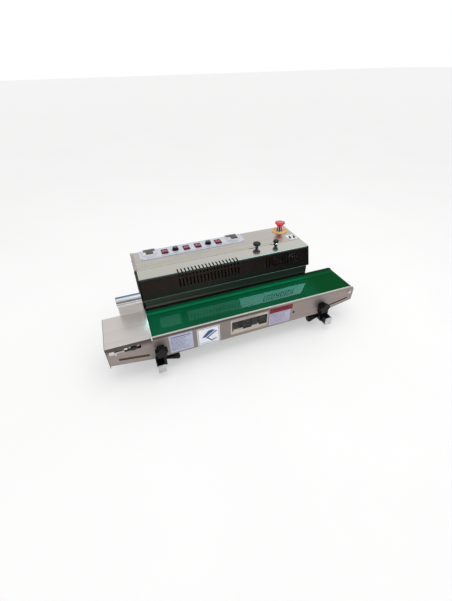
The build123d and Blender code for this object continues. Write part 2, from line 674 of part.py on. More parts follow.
def make_front_cover():
    """The bent cover over the sealing bands, with air slots, knob notches and a turned-in lip."""
    cover_x = (COVER_LEFT, HEAD_RIGHT)
    slot_half = 2.3
    with BuildPart() as front_cover:
        path = (
            (SEAM_Y - 0.5, HEAD_TOP),
            (COVER_BEND_Y, HEAD_TOP),
            (LIP_Y, LIP_Z),
            (LIP_RETURN_Y, LIP_Z),
        )
        bent_sheet(cover_x, path, 3.0, Side.LEFT)
        for index in range(18):
            x = around(-164.0 + 12.05 * index + 2.0, slot_half)
            span_box(x, (-20.0, 19.0), (242.0, 262.0), Mode.SUBTRACT)
            span_box(x, (-30.0, 6.0), (210.0, 236.0), Mode.SUBTRACT)
        for index in range(13):
            x = around(150.0 + 10.2 * index, 2.0)
            span_box(x, (-30.0, 6.0), (209.0, 243.0), Mode.SUBTRACT)
        for key, x in PRESS_STATIONS.items():
            reach = 30.0 if key == "a" else 20.0
            notch_z = (HEAD_TOP - 5.0, HEAD_TOP + 5.0)
            notch_y = (PRESS_SCREW_Y[key] - 5.8, SEAM_Y)
            span_box(around(x, 5.8), notch_y, notch_z, Mode.SUBTRACT)
            span_box((x - reach, x), (SEAM_Y - 3.5, SEAM_Y), notch_z, Mode.SUBTRACT)
    front_cover.part.label = "front_cover"
    export_step(front_cover.part, "parts/front_cover.step")


def make_infeed_guides():
    """A half-round chrome guide above the film's path, and a flat one below it."""
    guide_x = (GUIDE_LEFT, LEFT_CHEEK_X)
    tab_x = (LEFT_CHEEK_X - 3.0, LEFT_CHEEK_X)
    low, high = GUIDE_SLOT
    with BuildPart() as infeed_guides:
        with BuildSketch(Plane.YZ.offset(guide_x[0])):
            with Locations((GUIDE_Y, high + GUIDE_R)):
                Circle(GUIDE_R)
                Circle(GUIDE_R - SHEET, mode=Mode.SUBTRACT)
                with Locations((GUIDE_R, 0)):
                    Rectangle(2 * GUIDE_R, 2 * GUIDE_R, mode=Mode.SUBTRACT)
        extrude(amount=guide_x[1] - guide_x[0])
        span_box(tab_x, (GUIDE_Y, 14.0), (high + 4.0, high + 32.0))
        span_box(tab_x, (GUIDE_Y, GUIDE_Y + 2.0), (high, high + 2 * GUIDE_R))
        path = ((GUIDE_Y + 14.0, low), (GUIDE_Y - 0.7, low), (GUIDE_Y - 0.7, RAIL_TOP + 1.0))
        bent_sheet(guide_x, path, 2.0, Side.LEFT)
        span_box(tab_x, (GUIDE_Y + 0.8, 14.0), (153.0, 176.0))
    infeed_guides.part.label = "infeed_guides"
    export_step(infeed_guides.part, "parts/infeed_guides.step")


def make_housing_screws():
    """Pan-head screws in the end panels, the left flange and the back."""
    align = (Align.CENTER, Align.CENTER, Align.MIN)
    with BuildPart() as housing_screws:
        spots = []
        for y in (80.0, 165.0):
            for z in (75.0, 235.0):
                spots.append(Location((HEAD_RIGHT, y, z), (0, 90, 0)))
                spots.append(Location((HEAD_LEFT, y, z), (0, -90, 0)))
        for x in (-280.0, 0.0, 300.0):
            for z in (68.0, 243.0):
                spots.append(Location((x, HEAD_BACK, z), (-90, 0, 0)))
        for y in (75.0, 170.0):
            spots.append(Location((HEAD_LEFT + 6.0, y, HEAD_TOP + 1.2), (0, 0, 0)))
        with Locations(*spots):
            Cone(3.6, 2.4, 1.8, align=align)
    housing_screws.part.label = "housing_screws"
    export_step(housing_screws.part, "parts/housing_screws.step")


# ---------------------------------------------------------------- controls
def make_control_plate():
    with BuildPart() as control_plate:
        span_box(PLATE_X, PLATE_Y, (HEAD_TOP, PLATE_TOP))
        fillet(control_plate.edges().filter_by(Axis.Z), radius=5.0)
        top_cut_outs()
    control_plate.part.label = "control_plate"
    export_step(control_plate.part, "parts/control_plate.step")


def make_temperature_controllers():
    with BuildPart() as controllers:
        for x, y in CONTROLLER_AT:
            bezel_half = CONTROLLER_BEZEL / 2
            body_half = CONTROLLER_BODY / 2
            span_box(around(x, bezel_half), around(y, bezel_half), (PLATE_TOP, PLATE_TOP + 3.5))
            span_box(around(x, body_half), around(y, body_half), (HEAD_TOP - 62.0, PLATE_TOP))
            window_z = (PLATE_TOP + 2.3, PLATE_TOP + 3.5)
            span_box(around(x, 20.5), (y - 6.0, y + 19.5), window_z, Mode.SUBTRACT)
    controllers.part.label = "temperature_controllers"
    export_step(controllers.part, "parts/temperature_controllers.step")


def make_rocker_frames():
    """Open-topped switch bodies with a bezel that sits on the control plate."""
    with BuildPart() as rocker_frames:
        for x in ROCKER_X:
            bezel_x = around(x, ROCKER_BEZEL[0] / 2)
            bezel_y = around(ROCKER_Y, ROCKER_BEZEL[1] / 2)
            span_box(bezel_x, bezel_y, (PLATE_TOP, PLATE_TOP + 2.5))
            body_x = around(x, ROCKER_BODY_HALF[0])
            body_y = around(ROCKER_Y, ROCKER_BODY_HALF[1])
            span_box(body_x, body_y, (HEAD_TOP - 22.0, PLATE_TOP))
            hole_x = around(x, ROCKER_OPENING[0] / 2)
            hole_y = around(ROCKER_Y, ROCKER_OPENING[1] / 2)
            span_box(hole_x, hole_y, (HEAD_TOP - 8.0, PLATE_TOP + 3.0), Mode.SUBTRACT)
            rod_x(ROCKER_PIN_R, body_x, ROCKER_Y, ROCKER_PIVOT_Z)
    rocker_frames.part.label = "rocker_frames"
    export_step(rocker_frames.part, "parts/rocker_frames.step")


def make_rocker(number, x):
    """A rocker with a dished top and a bore for its pin, standing tilted to its off side."""
    half = ROCKER_HALF_SPAN
    base = -2.8
    with BuildPart() as rocker:
        with BuildSketch(Plane.YZ.offset(-ROCKER_HALF_WIDTH)):
            with BuildLine():
                Line((-half, base), (half, base))
                Line((half, base), (half, 5.0))
                ThreePointArc((half, 5.0), (0.0, 3.2), (-half, 5.0))
                Line((-half, 5.0), (-half, base))
            make_face()
        extrude(amount=2 * ROCKER_HALF_WIDTH)
        fillet(rocker.edges().filter_by(Axis.X).group_by(Axis.Z)[-1], radius=0.8)
        bore_x = around(0.0, ROCKER_HALF_WIDTH)
        rod_x(ROCKER_PIN_R + RUN_GAP, bore_x, 0.0, 0.0, Mode.SUBTRACT)
    placed = Pos(x, ROCKER_Y, ROCKER_PIVOT_Z) * Rot(-ROCKER_TILT, 0, 0) * rocker.part
    placed.label = f"rocker_{number}"
    export_step(placed, f"parts/rocker_{number}.step")


def make_dial(key):
    """A fluted speed dial on a shaft that turns in the plate."""
    x = DIAL_X[key]
    skirt = PLATE_TOP + 0.4
    dial_top = skirt + 10.0
    with BuildPart() as dial:
        rod_z(DIAL_R, x, DIAL_Y, (skirt, skirt + 3.0))
        rod_z(DIAL_R - 2.0, x, DIAL_Y, (skirt + 3.0, dial_top))
        fillet(dial.edges().group_by(Axis.Z)[-1], radius=1.0)
        with Locations((x, DIAL_Y, skirt + 7.0)):
            with PolarLocations(DIAL_R - 1.4, 12):
                Cylinder(1.1, 8.0, mode=Mode.SUBTRACT)
        pointer_z = (dial_top - 0.8, dial_top)
        span_box(around(x, 0.7), (DIAL_Y + 2.0, DIAL_Y + DIAL_R), pointer_z, Mode.SUBTRACT)
        rod_z(3.0, x, DIAL_Y, (HEAD_TOP - 14.0, skirt))
    dial.part.label = f"dial_{key}"
    export_step(dial.part, f"parts/dial_{key}.step")


def make_estop():
    """Emergency stop: warning ring, fixed body, sliding stem and twisting mushroom head."""
    x, y = ESTOP_AT
    ring_top = HEAD_TOP + 2.0
    neck_r = 11.5
    stem_r = 9.6
    pin_r = 4.0
    head_low = 279.0
    collar_top = ring_top + 2.5
    with BuildPart() as ring:
        rod_z(ESTOP_RING_R, x, y, (HEAD_TOP, ring_top))
        rod_z(neck_r, x, y, (HEAD_TOP, ring_top), Mode.SUBTRACT)
    ring.part.label = "estop_ring"
    export_step(ring.part, "parts/estop_ring.step")
    with BuildPart() as body:
        rod_z(neck_r, x, y, (HEAD_TOP - 15.0, ring_top))
        span_box(around(x, 15.0), around(y, 15.0), (HEAD_TOP - 60.0, HEAD_TOP - 15.0))
        rod_z(13.0, x, y, (ring_top, collar_top))
        fillet(body.edges().group_by(Axis.Z)[-1], radius=0.8)
        rod_z(stem_r + RUN_GAP, x, y, (HEAD_TOP - 10.0, collar_top), Mode.SUBTRACT)
    body.part.label = "estop_body"
    export_step(body.part, "parts/estop_body.step")
    with BuildPart() as stem:
        rod_z(stem_r, x, y, (HEAD_TOP - 4.0, head_low - 0.3))
        rod_z(pin_r, x, y, (head_low - 0.3, head_low + 10.0))
    stem.part.label = "estop_stem"
    export_step(stem.part, "parts/estop_stem.step")
    shoulder = (16.0, 293.2)
    crown_drop = ESTOP_TOP - shoulder[1]
    crown_r = (shoulder[0] ** 2 + crown_drop**2) / (2 * crown_drop)
    with BuildPart() as head:
        with BuildSketch(Plane.XZ):
            with BuildLine():
                Polyline((pin_r + RUN_GAP, head_low), (12.5, head_low), (14.5, 283.5), (19.5, 288.5))
                ThreePointArc((19.5, 288.5), (19.0, 291.4), shoulder)
                RadiusArc(shoulder, (0.0, ESTOP_TOP), -crown_r)
                Polyline(
                    (0.0, ESTOP_TOP),
                    (0.0, head_low + 10.3),
                    (pin_r + RUN_GAP, head_low + 10.3),
                    (pin_r + RUN_GAP, head_low),
                )
            make_face()
        revolve(axis=Axis.Z)
    placed = Pos(x, y, 0) * head.part
    placed.label = "estop_head"
    export_step(placed, "parts/estop_head.step")


# ---------------------------------------------------------------- sealing mechanism
def make_sealing_bands():
    inner_r = WHEEL_R + SLIDE_GAP
    with BuildPart() as sealing_bands:
        for z in (UPPER_Z, LOWER_Z):
            belt_loop((IDLER_X, DRIVE_X), z, inner_r, BAND_THICK, (BAND_FRONT, BAND_BACK))
    sealing_bands.part.label = "sealing_bands"
    export_step(sealing_bands.part, "parts/sealing_bands.step")


def make_drive_spindle(name, z, phase):
    """A band wheel, its shaft and its gear, turning as one."""
    with BuildPart() as spindle:
        rod_y(WHEEL_R, DRIVE_X, (WHEEL_FRONT, WHEEL_BACK), z)
        rod_y(WHEEL_R - 5.0, DRIVE_X, (WHEEL_FRONT, WHEEL_FRONT + 4.0), z, Mode.SUBTRACT)
        with Locations(Location((DRIVE_X, WHEEL_FRONT + 8.0, z), (90, 0, 0))):
            with PolarLocations(17.0, 5):
                Cylinder(4.5, 30.0, mode=Mode.SUBTRACT)
        rod_y(9.0, DRIVE_X, (WHEEL_FRONT, WHEEL_BACK), z)
        rod_y(SPINDLE_R, DRIVE_X, (WHEEL_BACK, GEAR_BACK + 3.0), z)
        gear_y(GEAR_TEETH, GEAR_PITCH_R, phase, DRIVE_X, z, (GEAR_FRONT, GEAR_BACK))
    spindle.part.label = name
    export_step(spindle.part, f"parts/{name}.step")


def make_idler_wheel(name, z):
    with BuildPart() as idler:
        rod_y(WHEEL_R, IDLER_X, (WHEEL_FRONT, WHEEL_BACK), z)
        rod_y(WHEEL_R - 5.0, IDLER_X, (WHEEL_FRONT, WHEEL_FRONT + 4.0), z, Mode.SUBTRACT)
        with Locations(Location((IDLER_X, WHEEL_FRONT + 8.0, z), (90, 0, 0))):
            with PolarLocations(17.0, 5):
                Cylinder(4.5, 30.0, mode=Mode.SUBTRACT)
        rod_y(9.0, IDLER_X, (WHEEL_FRONT, WHEEL_BACK), z)
        rod_y(SPINDLE_R, IDLER_X, (WHEEL_BACK, 70.0), z)
        rod_y(9.0, IDLER_X, (70.0, 74.0), z)
    idler.part.label = name
    export_step(idler.part, f"parts/{name}.step")


def make_shaft_bearings():
    """Flanged bushes in the wall for the four band wheel shafts."""
    with BuildPart() as shaft_bearings:
        for x in (IDLER_X, DRIVE_X):
            for z in (UPPER_Z, LOWER_Z):
                rod_y(16.0, x, (WALL_FRONT - 5.0, WALL_FRONT), z)
                rod_y(11.0, x, (WALL_FRONT, WALL_FRONT + WALL_THICK + 2.0), z)
                bore_y = (WALL_FRONT - 6.0, WALL_FRONT + WALL_THICK + 3.0)
                rod_y(SPINDLE_R + RUN_GAP, x, bore_y, z, Mode.SUBTRACT)
    shaft_bearings.part.label = "shaft_bearings"
    export_step(shaft_bearings.part, "parts/shaft_bearings.step")


def press_wheel_z(level):
    """The height of a press wheel's axis, which just clears the inside of its band."""
    lift = BAND_INSIDE + PRESS_R
    return SEAL_Z + lift if level == "upper" else SEAL_Z - lift


def make_press_brackets():
    """Blocks on the wall: bores for the press wheels' axles, threads for the pressure screws."""
    with BuildPart() as press_brackets:
        for key, x in PRESS_STATIONS.items():
            upper = press_wheel_z("upper")
            span_box(around(x, 13.0), (34.0, WALL_FRONT), (upper - 10.0, upper + 28.0))
            thread_z = (upper + 8.0, upper + 29.0)
            rod_z(PRESS_SCREW_R + RUN_GAP, x, PRESS_SCREW_Y[key], thread_z, Mode.SUBTRACT)
            lower = press_wheel_z("lower")
            span_box(around(x, 13.0), (34.0, WALL_FRONT), around(lower, 10.0))
            for z in (upper, lower):
                rod_y(PRESS_AXLE_R + RUN_GAP, x, (33.0, 58.0), z, Mode.SUBTRACT)
    press_brackets.part.label = "press_brackets"
    export_step(press_brackets.part, "parts/press_brackets.step")


def make_press_wheel(level, key):
    """A press wheel on its axle: wheel pair a is plain, and pair b is grooved for the code."""
    x = PRESS_STATIONS[key]
    z = press_wheel_z(level)
    with BuildPart() as wheel:
        rod_y(PRESS_R, x, (BAND_FRONT, BAND_BACK), z)
        if key == "b":
            for y in (6.5, 12.5):
                rod_y(PRESS_R + 1.0, x, around(y, 0.8), z, Mode.SUBTRACT)
                rod_y(PRESS_R - 1.5, x, around(y, 0.8), z)
        rod_y(PRESS_AXLE_R, x, (BAND_BACK, 57.0), z)
    wheel.part.label = f"{level}_press_wheel_{key}"
    export_step(wheel.part, f"parts/{level}_press_wheel_{key}.step")


def make_pressure_screw(key):
    """A round knob with a tapered neck, on the threaded stem that sets a press wheel's load."""
    x = PRESS_STATIONS[key]
    y = PRESS_SCREW_Y[key]
    radius = PRESS_KNOB_R[key]
    neck_low = HEAD_TOP + 5.0
    knob_low = HEAD_TOP + 13.0
    knob_high = knob_low + 7.0
    align = (Align.CENTER, Align.CENTER, Align.MIN)
    with BuildPart() as screw:
        rod_z(PRESS_SCREW_R, x, y, (press_wheel_z("upper") + 9.0, neck_low))
        with Locations((x, y, neck_low)):
            Cone(5.0, radius - 1.5, knob_low - neck_low, align=align)
        rod_z(radius, x, y, (knob_low, knob_high))
        fillet(screw.edges().group_by(Axis.Z)[-1], radius=2.0)
        with Locations((x, y, (knob_low + knob_high) / 2)):
            with PolarLocations(radius + 0.4, 16):
                Cylinder(0.9, 10.0, mode=Mode.SUBTRACT)
    screw.part.label = f"pressure_screw_{key}"
    export_step(screw.part, f"parts/pressure_screw_{key}.step")


def make_heater_blocks():
    """Brass heating blocks above and below the film, on standoffs from the wall."""
    with BuildPart() as heater_blocks:
        for sign in (1, -1):
            near = SEAL_Z + sign * BAND_INSIDE
            far = near + sign * BLOCK_HEIGHT
            block_z = (min(near, far), max(near, far))
            span_box(HEATER_X, (BAND_FRONT + 1.0, BAND_BACK), block_z)
            for x in (-125.0, -35.0):
                rod_y(4.0, x, (BAND_BACK, WALL_FRONT), (near + far) / 2)
            rod_y(3.2, -80.0, (BAND_BACK, BAND_BACK + 18.0), (near + far) / 2)
    heater_blocks.part.label = "heater_blocks"
    export_step(heater_blocks.part, "parts/heater_blocks.step")


def make_cooling_blocks():
    """Finned aluminium blocks that set the seal after the heaters."""
    fin_pitch = 7.0
    with BuildPart() as cooling_blocks:
        for sign in (1, -1):
            near = SEAL_Z + sign * BAND_INSIDE
            far = near + sign * BLOCK_HEIGHT
            root = near + sign * 6.0
            span_box(COOLER_X, (BAND_FRONT + 1.0, BAND_BACK), (min(near, far), max(near, far)))
            gap_z = (min(root, far), max(root, far))
            x = COOLER_X[0] + 6.5
            while x < COOLER_X[1] - 6.0:
                span_box(around(x, 2.0), (BAND_FRONT, BAND_BACK + 1.0), gap_z, Mode.SUBTRACT)
                x += fin_pitch
            standoff_z = (near + root) / 2
            for x in (COOLER_X[0] + 9.0, COOLER_X[1] - 9.0):
                rod_y(2.8, x, (BAND_BACK, WALL_FRONT), standoff_z)
    cooling_blocks.part.label = "cooling_blocks"
    export_step(cooling_blocks.part, "parts/cooling_blocks.step")


def make_motor_pinion():
    with BuildPart() as pinion:
        gear_y(PINION_TEETH, PINION_PITCH_R, 15.0, MOTOR_X, LOWER_Z, (GEAR_FRONT, GEAR_BACK))
        rod_y(PRESS_AXLE_R, MOTOR_X, (GEAR_BACK, 94.0), LOWER_Z)
    pinion.part.label = "motor_pinion"
    export_step(pinion.part, "parts/motor_pinion.step")


def make_main_gearmotor():
    """Gearbox, finned motor barrel and the pedestal that stands on the base pan."""
    box_y = (82.0, 112.0)
    with BuildPart() as gearmotor:
        span_box(around(MOTOR_X, 27.0), box_y, around(LOWER_Z, 29.0))
        rod_y(27.0, MOTOR_X, (box_y[1], 178.0), LOWER_Z)
        for index in range(6):
            rod_y(29.0, MOTOR_X, around(120.0 + 9.0 * index, 1.5), LOWER_Z)
        pedestal_top = LOWER_Z - 29.0
        span_box(around(MOTOR_X, 20.0), box_y, (BASE_BOTTOM + SHEET, pedestal_top))
        shaft_hole_y = (box_y[0] - 1.0, 95.0)
        rod_y(PRESS_AXLE_R + RUN_GAP, MOTOR_X, shaft_hole_y, LOWER_Z, Mode.SUBTRACT)
    gearmotor.part.label = "main_gearmotor"
    export_step(gearmotor.part, "parts/main_gearmotor.step")


def make_cooling_fan():
    """A square fan on the wall behind the cooling blocks, with its bladed rotor."""
    x, z = FAN_AT
    fan_y = (WALL_FRONT + WALL_THICK, WALL_FRONT + WALL_THICK + 25.0)
    hub_r = 14.0
    blade_count = 7
    with BuildPart() as housing:
        span_box(around(x, FAN_SIZE / 2), fan_y, around(z, FAN_SIZE / 2))
        rod_y(FAN_BORE_R, x, fan_y, z, Mode.SUBTRACT)
        rod_y(hub_r, x, (fan_y[1] - 4.0, fan_y[1]), z)
        span_box(around(x, FAN_BORE_R + 1.0), (fan_y[1] - 4.0, fan_y[1]), around(z, 2.5))
        span_box(around(x, 2.5), (fan_y[1] - 4.0, fan_y[1]), around(z, FAN_BORE_R + 1.0))
        rod_y(3.0, x, (fan_y[0] + 8.0, fan_y[1] - 4.0), z)
    housing.part.label = "fan_housing"
    export_step(housing.part, "parts/fan_housing.step")
    with BuildPart() as impeller:
        rod_y(hub_r, x, (fan_y[0] + 2.0, fan_y[1] - 5.0), z)
        for blade in range(blade_count):
            turn = 360.0 / blade_count * blade
            reach = FAN_BORE_R - 2.0
            middle = reach / 2 + 4.0
            blade_at = Location((x, (fan_y[0] + fan_y[1]) / 2 - 1.5, z), (0, turn, 0))
            with Locations(blade_at * Pos(middle, 0, 0) * Rot(35, 0, 0)):
                Box(reach - 8.0, 1.5, 18.0)
        rod_y(3.0 + RUN_GAP, x, (fan_y[0] + 7.0, fan_y[1]), z, Mode.SUBTRACT)
    impeller.part.label = "fan_impeller"
    export_step(impeller.part, "parts/fan_impeller.step")


def make_control_board():
    """The drive and relay board on standoffs, low on the inside of the back."""
    board_y = (HEAD_BACK - SHEET - 8.0, HEAD_BACK - SHEET - 6.4)
    with BuildPart() as control_board:
        span_box((-190.0, -40.0), board_y, (78.0, 168.0))
        for x in (-182.0, -48.0):
            for z in (86.0, 160.0):
                rod_y(3.0, x, (board_y[1], HEAD_BACK - SHEET), z)
        span_box((-170.0, -135.0), (board_y[0] - 26.0, board_y[0]), (100.0, 145.0))
        for x in (-115.0, -95.0, -75.0):
            span_box(around(x, 7.5), (board_y[0] - 16.0, board_y[0]), (128.0, 156.0))
            rod_y(6.0, x, (board_y[0] - 20.0, board_y[0]), 100.0)
    control_board.part.label = "control_board"
    export_step(control_board.part, "parts/control_board.step")


def make_power_inlet():
    """A three-pin appliance inlet in the back: flange, shrouded recess and pins."""
    x, z = INLET_AT
    flange_y = (HEAD_BACK, HEAD_BACK + 4.0)
    with BuildPart() as power_inlet:
        span_box(around(x, 24.0), (HEAD_BACK, HEAD_BACK + 2.5), around(z, 13.0))
        span_box(around(x, 16.0), flange_y, around(z, 12.0))
        span_box(around(x, 14.0), (HEAD_BACK - 24.0, HEAD_BACK), around(z, 10.0))
        span_box(around(x, 12.0), (HEAD_BACK - 13.0, flange_y[1]), around(z, 8.2), Mode.SUBTRACT)
        for pin_x, pin_z in ((x - 7.0, z - 2.0), (x, z + 2.0), (x + 7.0, z - 2.0)):
            span_box(around(pin_x, 1.0), (HEAD_BACK - 14.0, HEAD_BACK - 6.0), around(pin_z, 2.0))
    power_inlet.part.label = "power_inlet"
    export_step(power_inlet.part, "parts/power_inlet.step")


# ---------------------------------------------------------------- build everything
make_base_pan()
make_support_bars()
make_bar_end_caps()
make_rubber_feet()
make_carriage_brackets()
for side_name in BAR_X:
    make_height_lock_knob(side_name)
    make_depth_lock_knob(side_name)

make_conveyor_front_plate()
make_conveyor_rear_plate()
make_infeed_cover_plate()
make_slider_bed()
make_tie_bars()
make_conveyor_belt()
make_roller_axles()
make_conveyor_roller("drive_roller", DRIVE_ROLLER_X, DRUM_CORE_R)
make_conveyor_roller("tail_roller", TAIL_ROLLER_X, TAIL_AXLE_R)

make_housing_shell()
make_left_end_panel()
make_right_end_panel()
make_mounting_frame()
make_lower_guard()
make_front_cover()
make_infeed_guides()
make_housing_screws()

make_control_plate()
make_temperature_controllers()
make_rocker_frames()
for rocker_number, rocker_x in enumerate(ROCKER_X, start=1):
    make_rocker(rocker_number, rocker_x)
for dial_key in DIAL_X:
    make_dial(dial_key)
make_estop()

make_sealing_bands()
make_drive_spindle("upper_drive_spindle", UPPER_Z, 7.5)
make_drive_spindle("lower_drive_spindle", LOWER_Z, 0.0)
make_idler_wheel("upper_idler_wheel", UPPER_Z)
make_idler_wheel("lower_idler_wheel", LOWER_Z)
make_shaft_bearings()
make_press_brackets()
for station in PRESS_STATIONS:
    make_press_wheel("upper", station)
    make_press_wheel("lower", station)
    make_pressure_screw(station)
make_heater_blocks()
make_cooling_blocks()
make_motor_pinion()
make_main_gearmotor()
make_cooling_fan()
make_control_board()
make_power_inlet()
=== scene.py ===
import bpy
import bmesh
import math
import random
from mathutils import Matrix, Vector


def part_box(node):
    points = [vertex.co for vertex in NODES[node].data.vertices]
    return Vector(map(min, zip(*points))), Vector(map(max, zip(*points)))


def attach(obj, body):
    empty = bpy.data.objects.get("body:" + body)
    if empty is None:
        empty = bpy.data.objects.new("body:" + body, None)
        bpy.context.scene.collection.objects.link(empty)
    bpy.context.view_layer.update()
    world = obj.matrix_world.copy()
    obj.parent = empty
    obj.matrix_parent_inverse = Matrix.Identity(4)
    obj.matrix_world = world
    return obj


# Looks for the continuous band sealer. Metres, in the CAD's own frame: +X is the way the bags
# travel, the operator stands on the -Y side, and the floor is z = 0.
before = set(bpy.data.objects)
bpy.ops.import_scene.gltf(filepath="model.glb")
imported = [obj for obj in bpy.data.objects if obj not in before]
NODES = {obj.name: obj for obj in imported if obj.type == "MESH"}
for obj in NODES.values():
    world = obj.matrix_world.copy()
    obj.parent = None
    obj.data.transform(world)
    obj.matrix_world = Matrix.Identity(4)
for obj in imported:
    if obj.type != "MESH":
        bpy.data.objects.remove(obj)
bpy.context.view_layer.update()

PLATE_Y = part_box("conveyor_front_plate")[0].y
PLATE_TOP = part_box("conveyor_front_plate")[1].z
INFEED_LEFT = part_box("infeed_cover_plate")[0].x
BELT_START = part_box("infeed_cover_plate")[1].x
BELT_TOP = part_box("conveyor_belt")[1].z
BELT_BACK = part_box("conveyor_belt")[1].y
COVER_LOW, COVER_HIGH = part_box("front_cover")
GUIDE_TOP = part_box("infeed_guides")[1].z
PANEL_LOW, PANEL_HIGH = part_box("control_plate")
HEAD_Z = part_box("housing_shell")[1].z

STICKER = 0.0003  # how far a sticker stands off its face
PRINT = STICKER * 1.5  # and the top of the print on it


def centre(node_name):
    low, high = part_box(node_name)
    return (low + high) / 2


def inset(span, margin):
    return (span[0] + margin, span[1] - margin)


# ---------------------------------------------------------------- node helpers
class Finish:
    """A procedural material. Its patterns are laid out in the row frame, in metres."""

    def __init__(self, name, colour, metallic=0.0, roughness=0.5, **sockets):
        self.name = name
        self.material = bpy.data.materials.new(name)
        self.material.use_nodes = True
        self.tree = self.material.node_tree
        self.shader = self.tree.nodes["Principled BSDF"]
        self.colour = (*colour, 1.0)
        self.shader.inputs["Base Color"].default_value = self.colour
        self.shader.inputs["Metallic"].default_value = metallic
        self.shader.inputs["Roughness"].default_value = roughness
        for socket, value in sockets.items():
            self.shader.inputs[socket.replace("_", " ")].default_value = value
        self.place = self.node("ShaderNodeTexCoord").outputs["Object"]
        self.normal = None

    def node(self, kind, **settings):
        made = self.tree.nodes.new(kind)
        for key, value in settings.items():
            setattr(made, key, value)
        return made

    def feed(self, socket, source):
        if hasattr(source, "is_output"):
            self.tree.links.new(source, socket)
        else:
            socket.default_value = source

    def scaled(self, scale):
        mapping = self.node("ShaderNodeMapping")
        self.feed(mapping.inputs["Vector"], self.place)
        mapping.inputs["Scale"].default_value = scale
        return mapping.outputs["Vector"]

    def noise(self, scale, detail=3.0, roughness=0.55, warp=0.0, low=0.3, high=0.7):
        """Noise with so many cells to the metre along each axis, stretched to run from 0 to 1."""
        made = self.node("ShaderNodeTexNoise")
        self.feed(made.inputs["Vector"], self.scaled(scale))
        made.inputs["Scale"].default_value = 1.0
        made.inputs["Detail"].default_value = detail
        made.inputs["Roughness"].default_value = roughness
        made.inputs["Distortion"].default_value = warp
        return self.remap(made.outputs["Fac"], low, high, 0.0, 1.0)

    def remap(self, source, low, high, out_low, out_high):
        made = self.node("ShaderNodeMapRange")
        for index, value in enumerate((source, low, high, out_low, out_high)):
            self.feed(made.inputs[index], value)
        return made.outputs["Result"]

    def sum(self, a, b, operation="ADD"):
        made = self.node("ShaderNodeMath", operation=operation)
        self.feed(made.inputs[0], a)
        self.feed(made.inputs[1], b)
        return made.outputs["Value"]

    def mix(self, share, a, b):
        made = self.node("ShaderNodeMix", data_type="RGBA")
        for socket, value in zip((made.inputs[0], made.inputs[6], made.inputs[7]), (share, a, b)):
            if isinstance(value, tuple) and len(value) == 3:
                value = (*value, 1.0)
            self.feed(socket, value)
        return made.outputs[2]

    def axis(self, name):
        made = self.node("ShaderNodeSeparateXYZ")
        self.feed(made.inputs[0], self.place)
        return made.outputs[name]

    def band(self, name, low, high, soft=0.002):
        """1 between two heights (or X or Y values), falling to 0 over a soft edge."""
        where = self.axis(name)
        rise = self.remap(where, low - soft, low + soft, 0.0, 1.0)
        fall = self.remap(where, high - soft, high + soft, 1.0, 0.0)
        return self.sum(rise, fall, "MULTIPLY")

    def edges(self, radius):
        """1 on worn corners, and 0 on flat faces."""
        rounded = self.node("ShaderNodeBevel", samples=6)
        rounded.inputs["Radius"].default_value = radius
        geometry = self.node("ShaderNodeNewGeometry")
        dot = self.node("ShaderNodeVectorMath", operation="DOT_PRODUCT")
        self.feed(dot.inputs[0], rounded.outputs["Normal"])
        self.feed(dot.inputs[1], geometry.outputs["Normal"])
        return self.remap(dot.outputs["Value"], 0.995, 0.85, 0.0, 1.0)

    def soften(self, radius):
        """Shades hard corners as if they were rounded to this radius."""
        rounded = self.node("ShaderNodeBevel", samples=6)
        rounded.inputs["Radius"].default_value = radius
        self.normal = rounded.outputs["Normal"]
        self.feed(self.shader.inputs["Normal"], self.normal)

    def bump(self, height, distance, strength=1.0):
        made = self.node("ShaderNodeBump")
        made.inputs["Strength"].default_value = strength
        made.inputs["Distance"].default_value = distance
        self.feed(made.inputs["Height"], height)
        if self.normal is not None:
            self.feed(made.inputs["Normal"], self.normal)
        self.normal = made.outputs["Normal"]
        self.feed(self.shader.inputs["Normal"], self.normal)

    def paint(self, colour):
        self.feed(self.shader.inputs["Base Color"], colour)
        self.colour = colour

    def rough(self, source, low, high):
        self.feed(self.shader.inputs["Roughness"], self.remap(source, 0.0, 1.0, low, high))


def tinted(colour, gain):
    return tuple(min(1.0, channel * gain) for channel in colour)


# ---------------------------------------------------------------- materials
def brushed_steel(name, colour, rough, along="X", cloud=0.12, grain=0.16):
    """Stainless sheet: fine brush lines one way, cloudy handling marks and bright worn edges."""
    finish = Finish(name, colour, metallic=1.0, roughness=rough)
    order = "XYZ".index(along)
    fine = [1500.0] * 3
    fine[order] = 12.0
    wide = [90.0] * 3
    wide[order] = 3.0
    lines = finish.noise(tuple(fine), detail=2.0, low=0.25, high=0.75)
    streaks = finish.noise(tuple(wide), detail=4.0, roughness=0.6)
    clouds = finish.noise((7.0, 9.0, 8.0), detail=4.0, warp=0.6)
    base = finish.mix(streaks, tinted(colour, 1.0 - grain), tinted(colour, 1.0 + grain * 0.5))
    base = finish.mix(finish.sum(clouds, cloud * 2, "MULTIPLY"), base, tinted(colour, 0.72))
    base = finish.mix(finish.sum(lines, 0.10, "MULTIPLY"), base, tinted(colour, 1.25))
    base = finish.mix(finish.sum(finish.edges(0.0009), 0.35, "MULTIPLY"), base, tinted(colour, 1.5))
    finish.paint(base)
    worn = finish.sum(finish.sum(streaks, 0.6, "MULTIPLY"), finish.sum(clouds, 0.4, "MULTIPLY"))
    finish.rough(worn, rough - 0.06, rough + 0.12)
    finish.soften(0.0007)
    finish.bump(lines, 0.00002, 0.5)
    finish.bump(clouds, 0.0006, 0.25)
    return finish


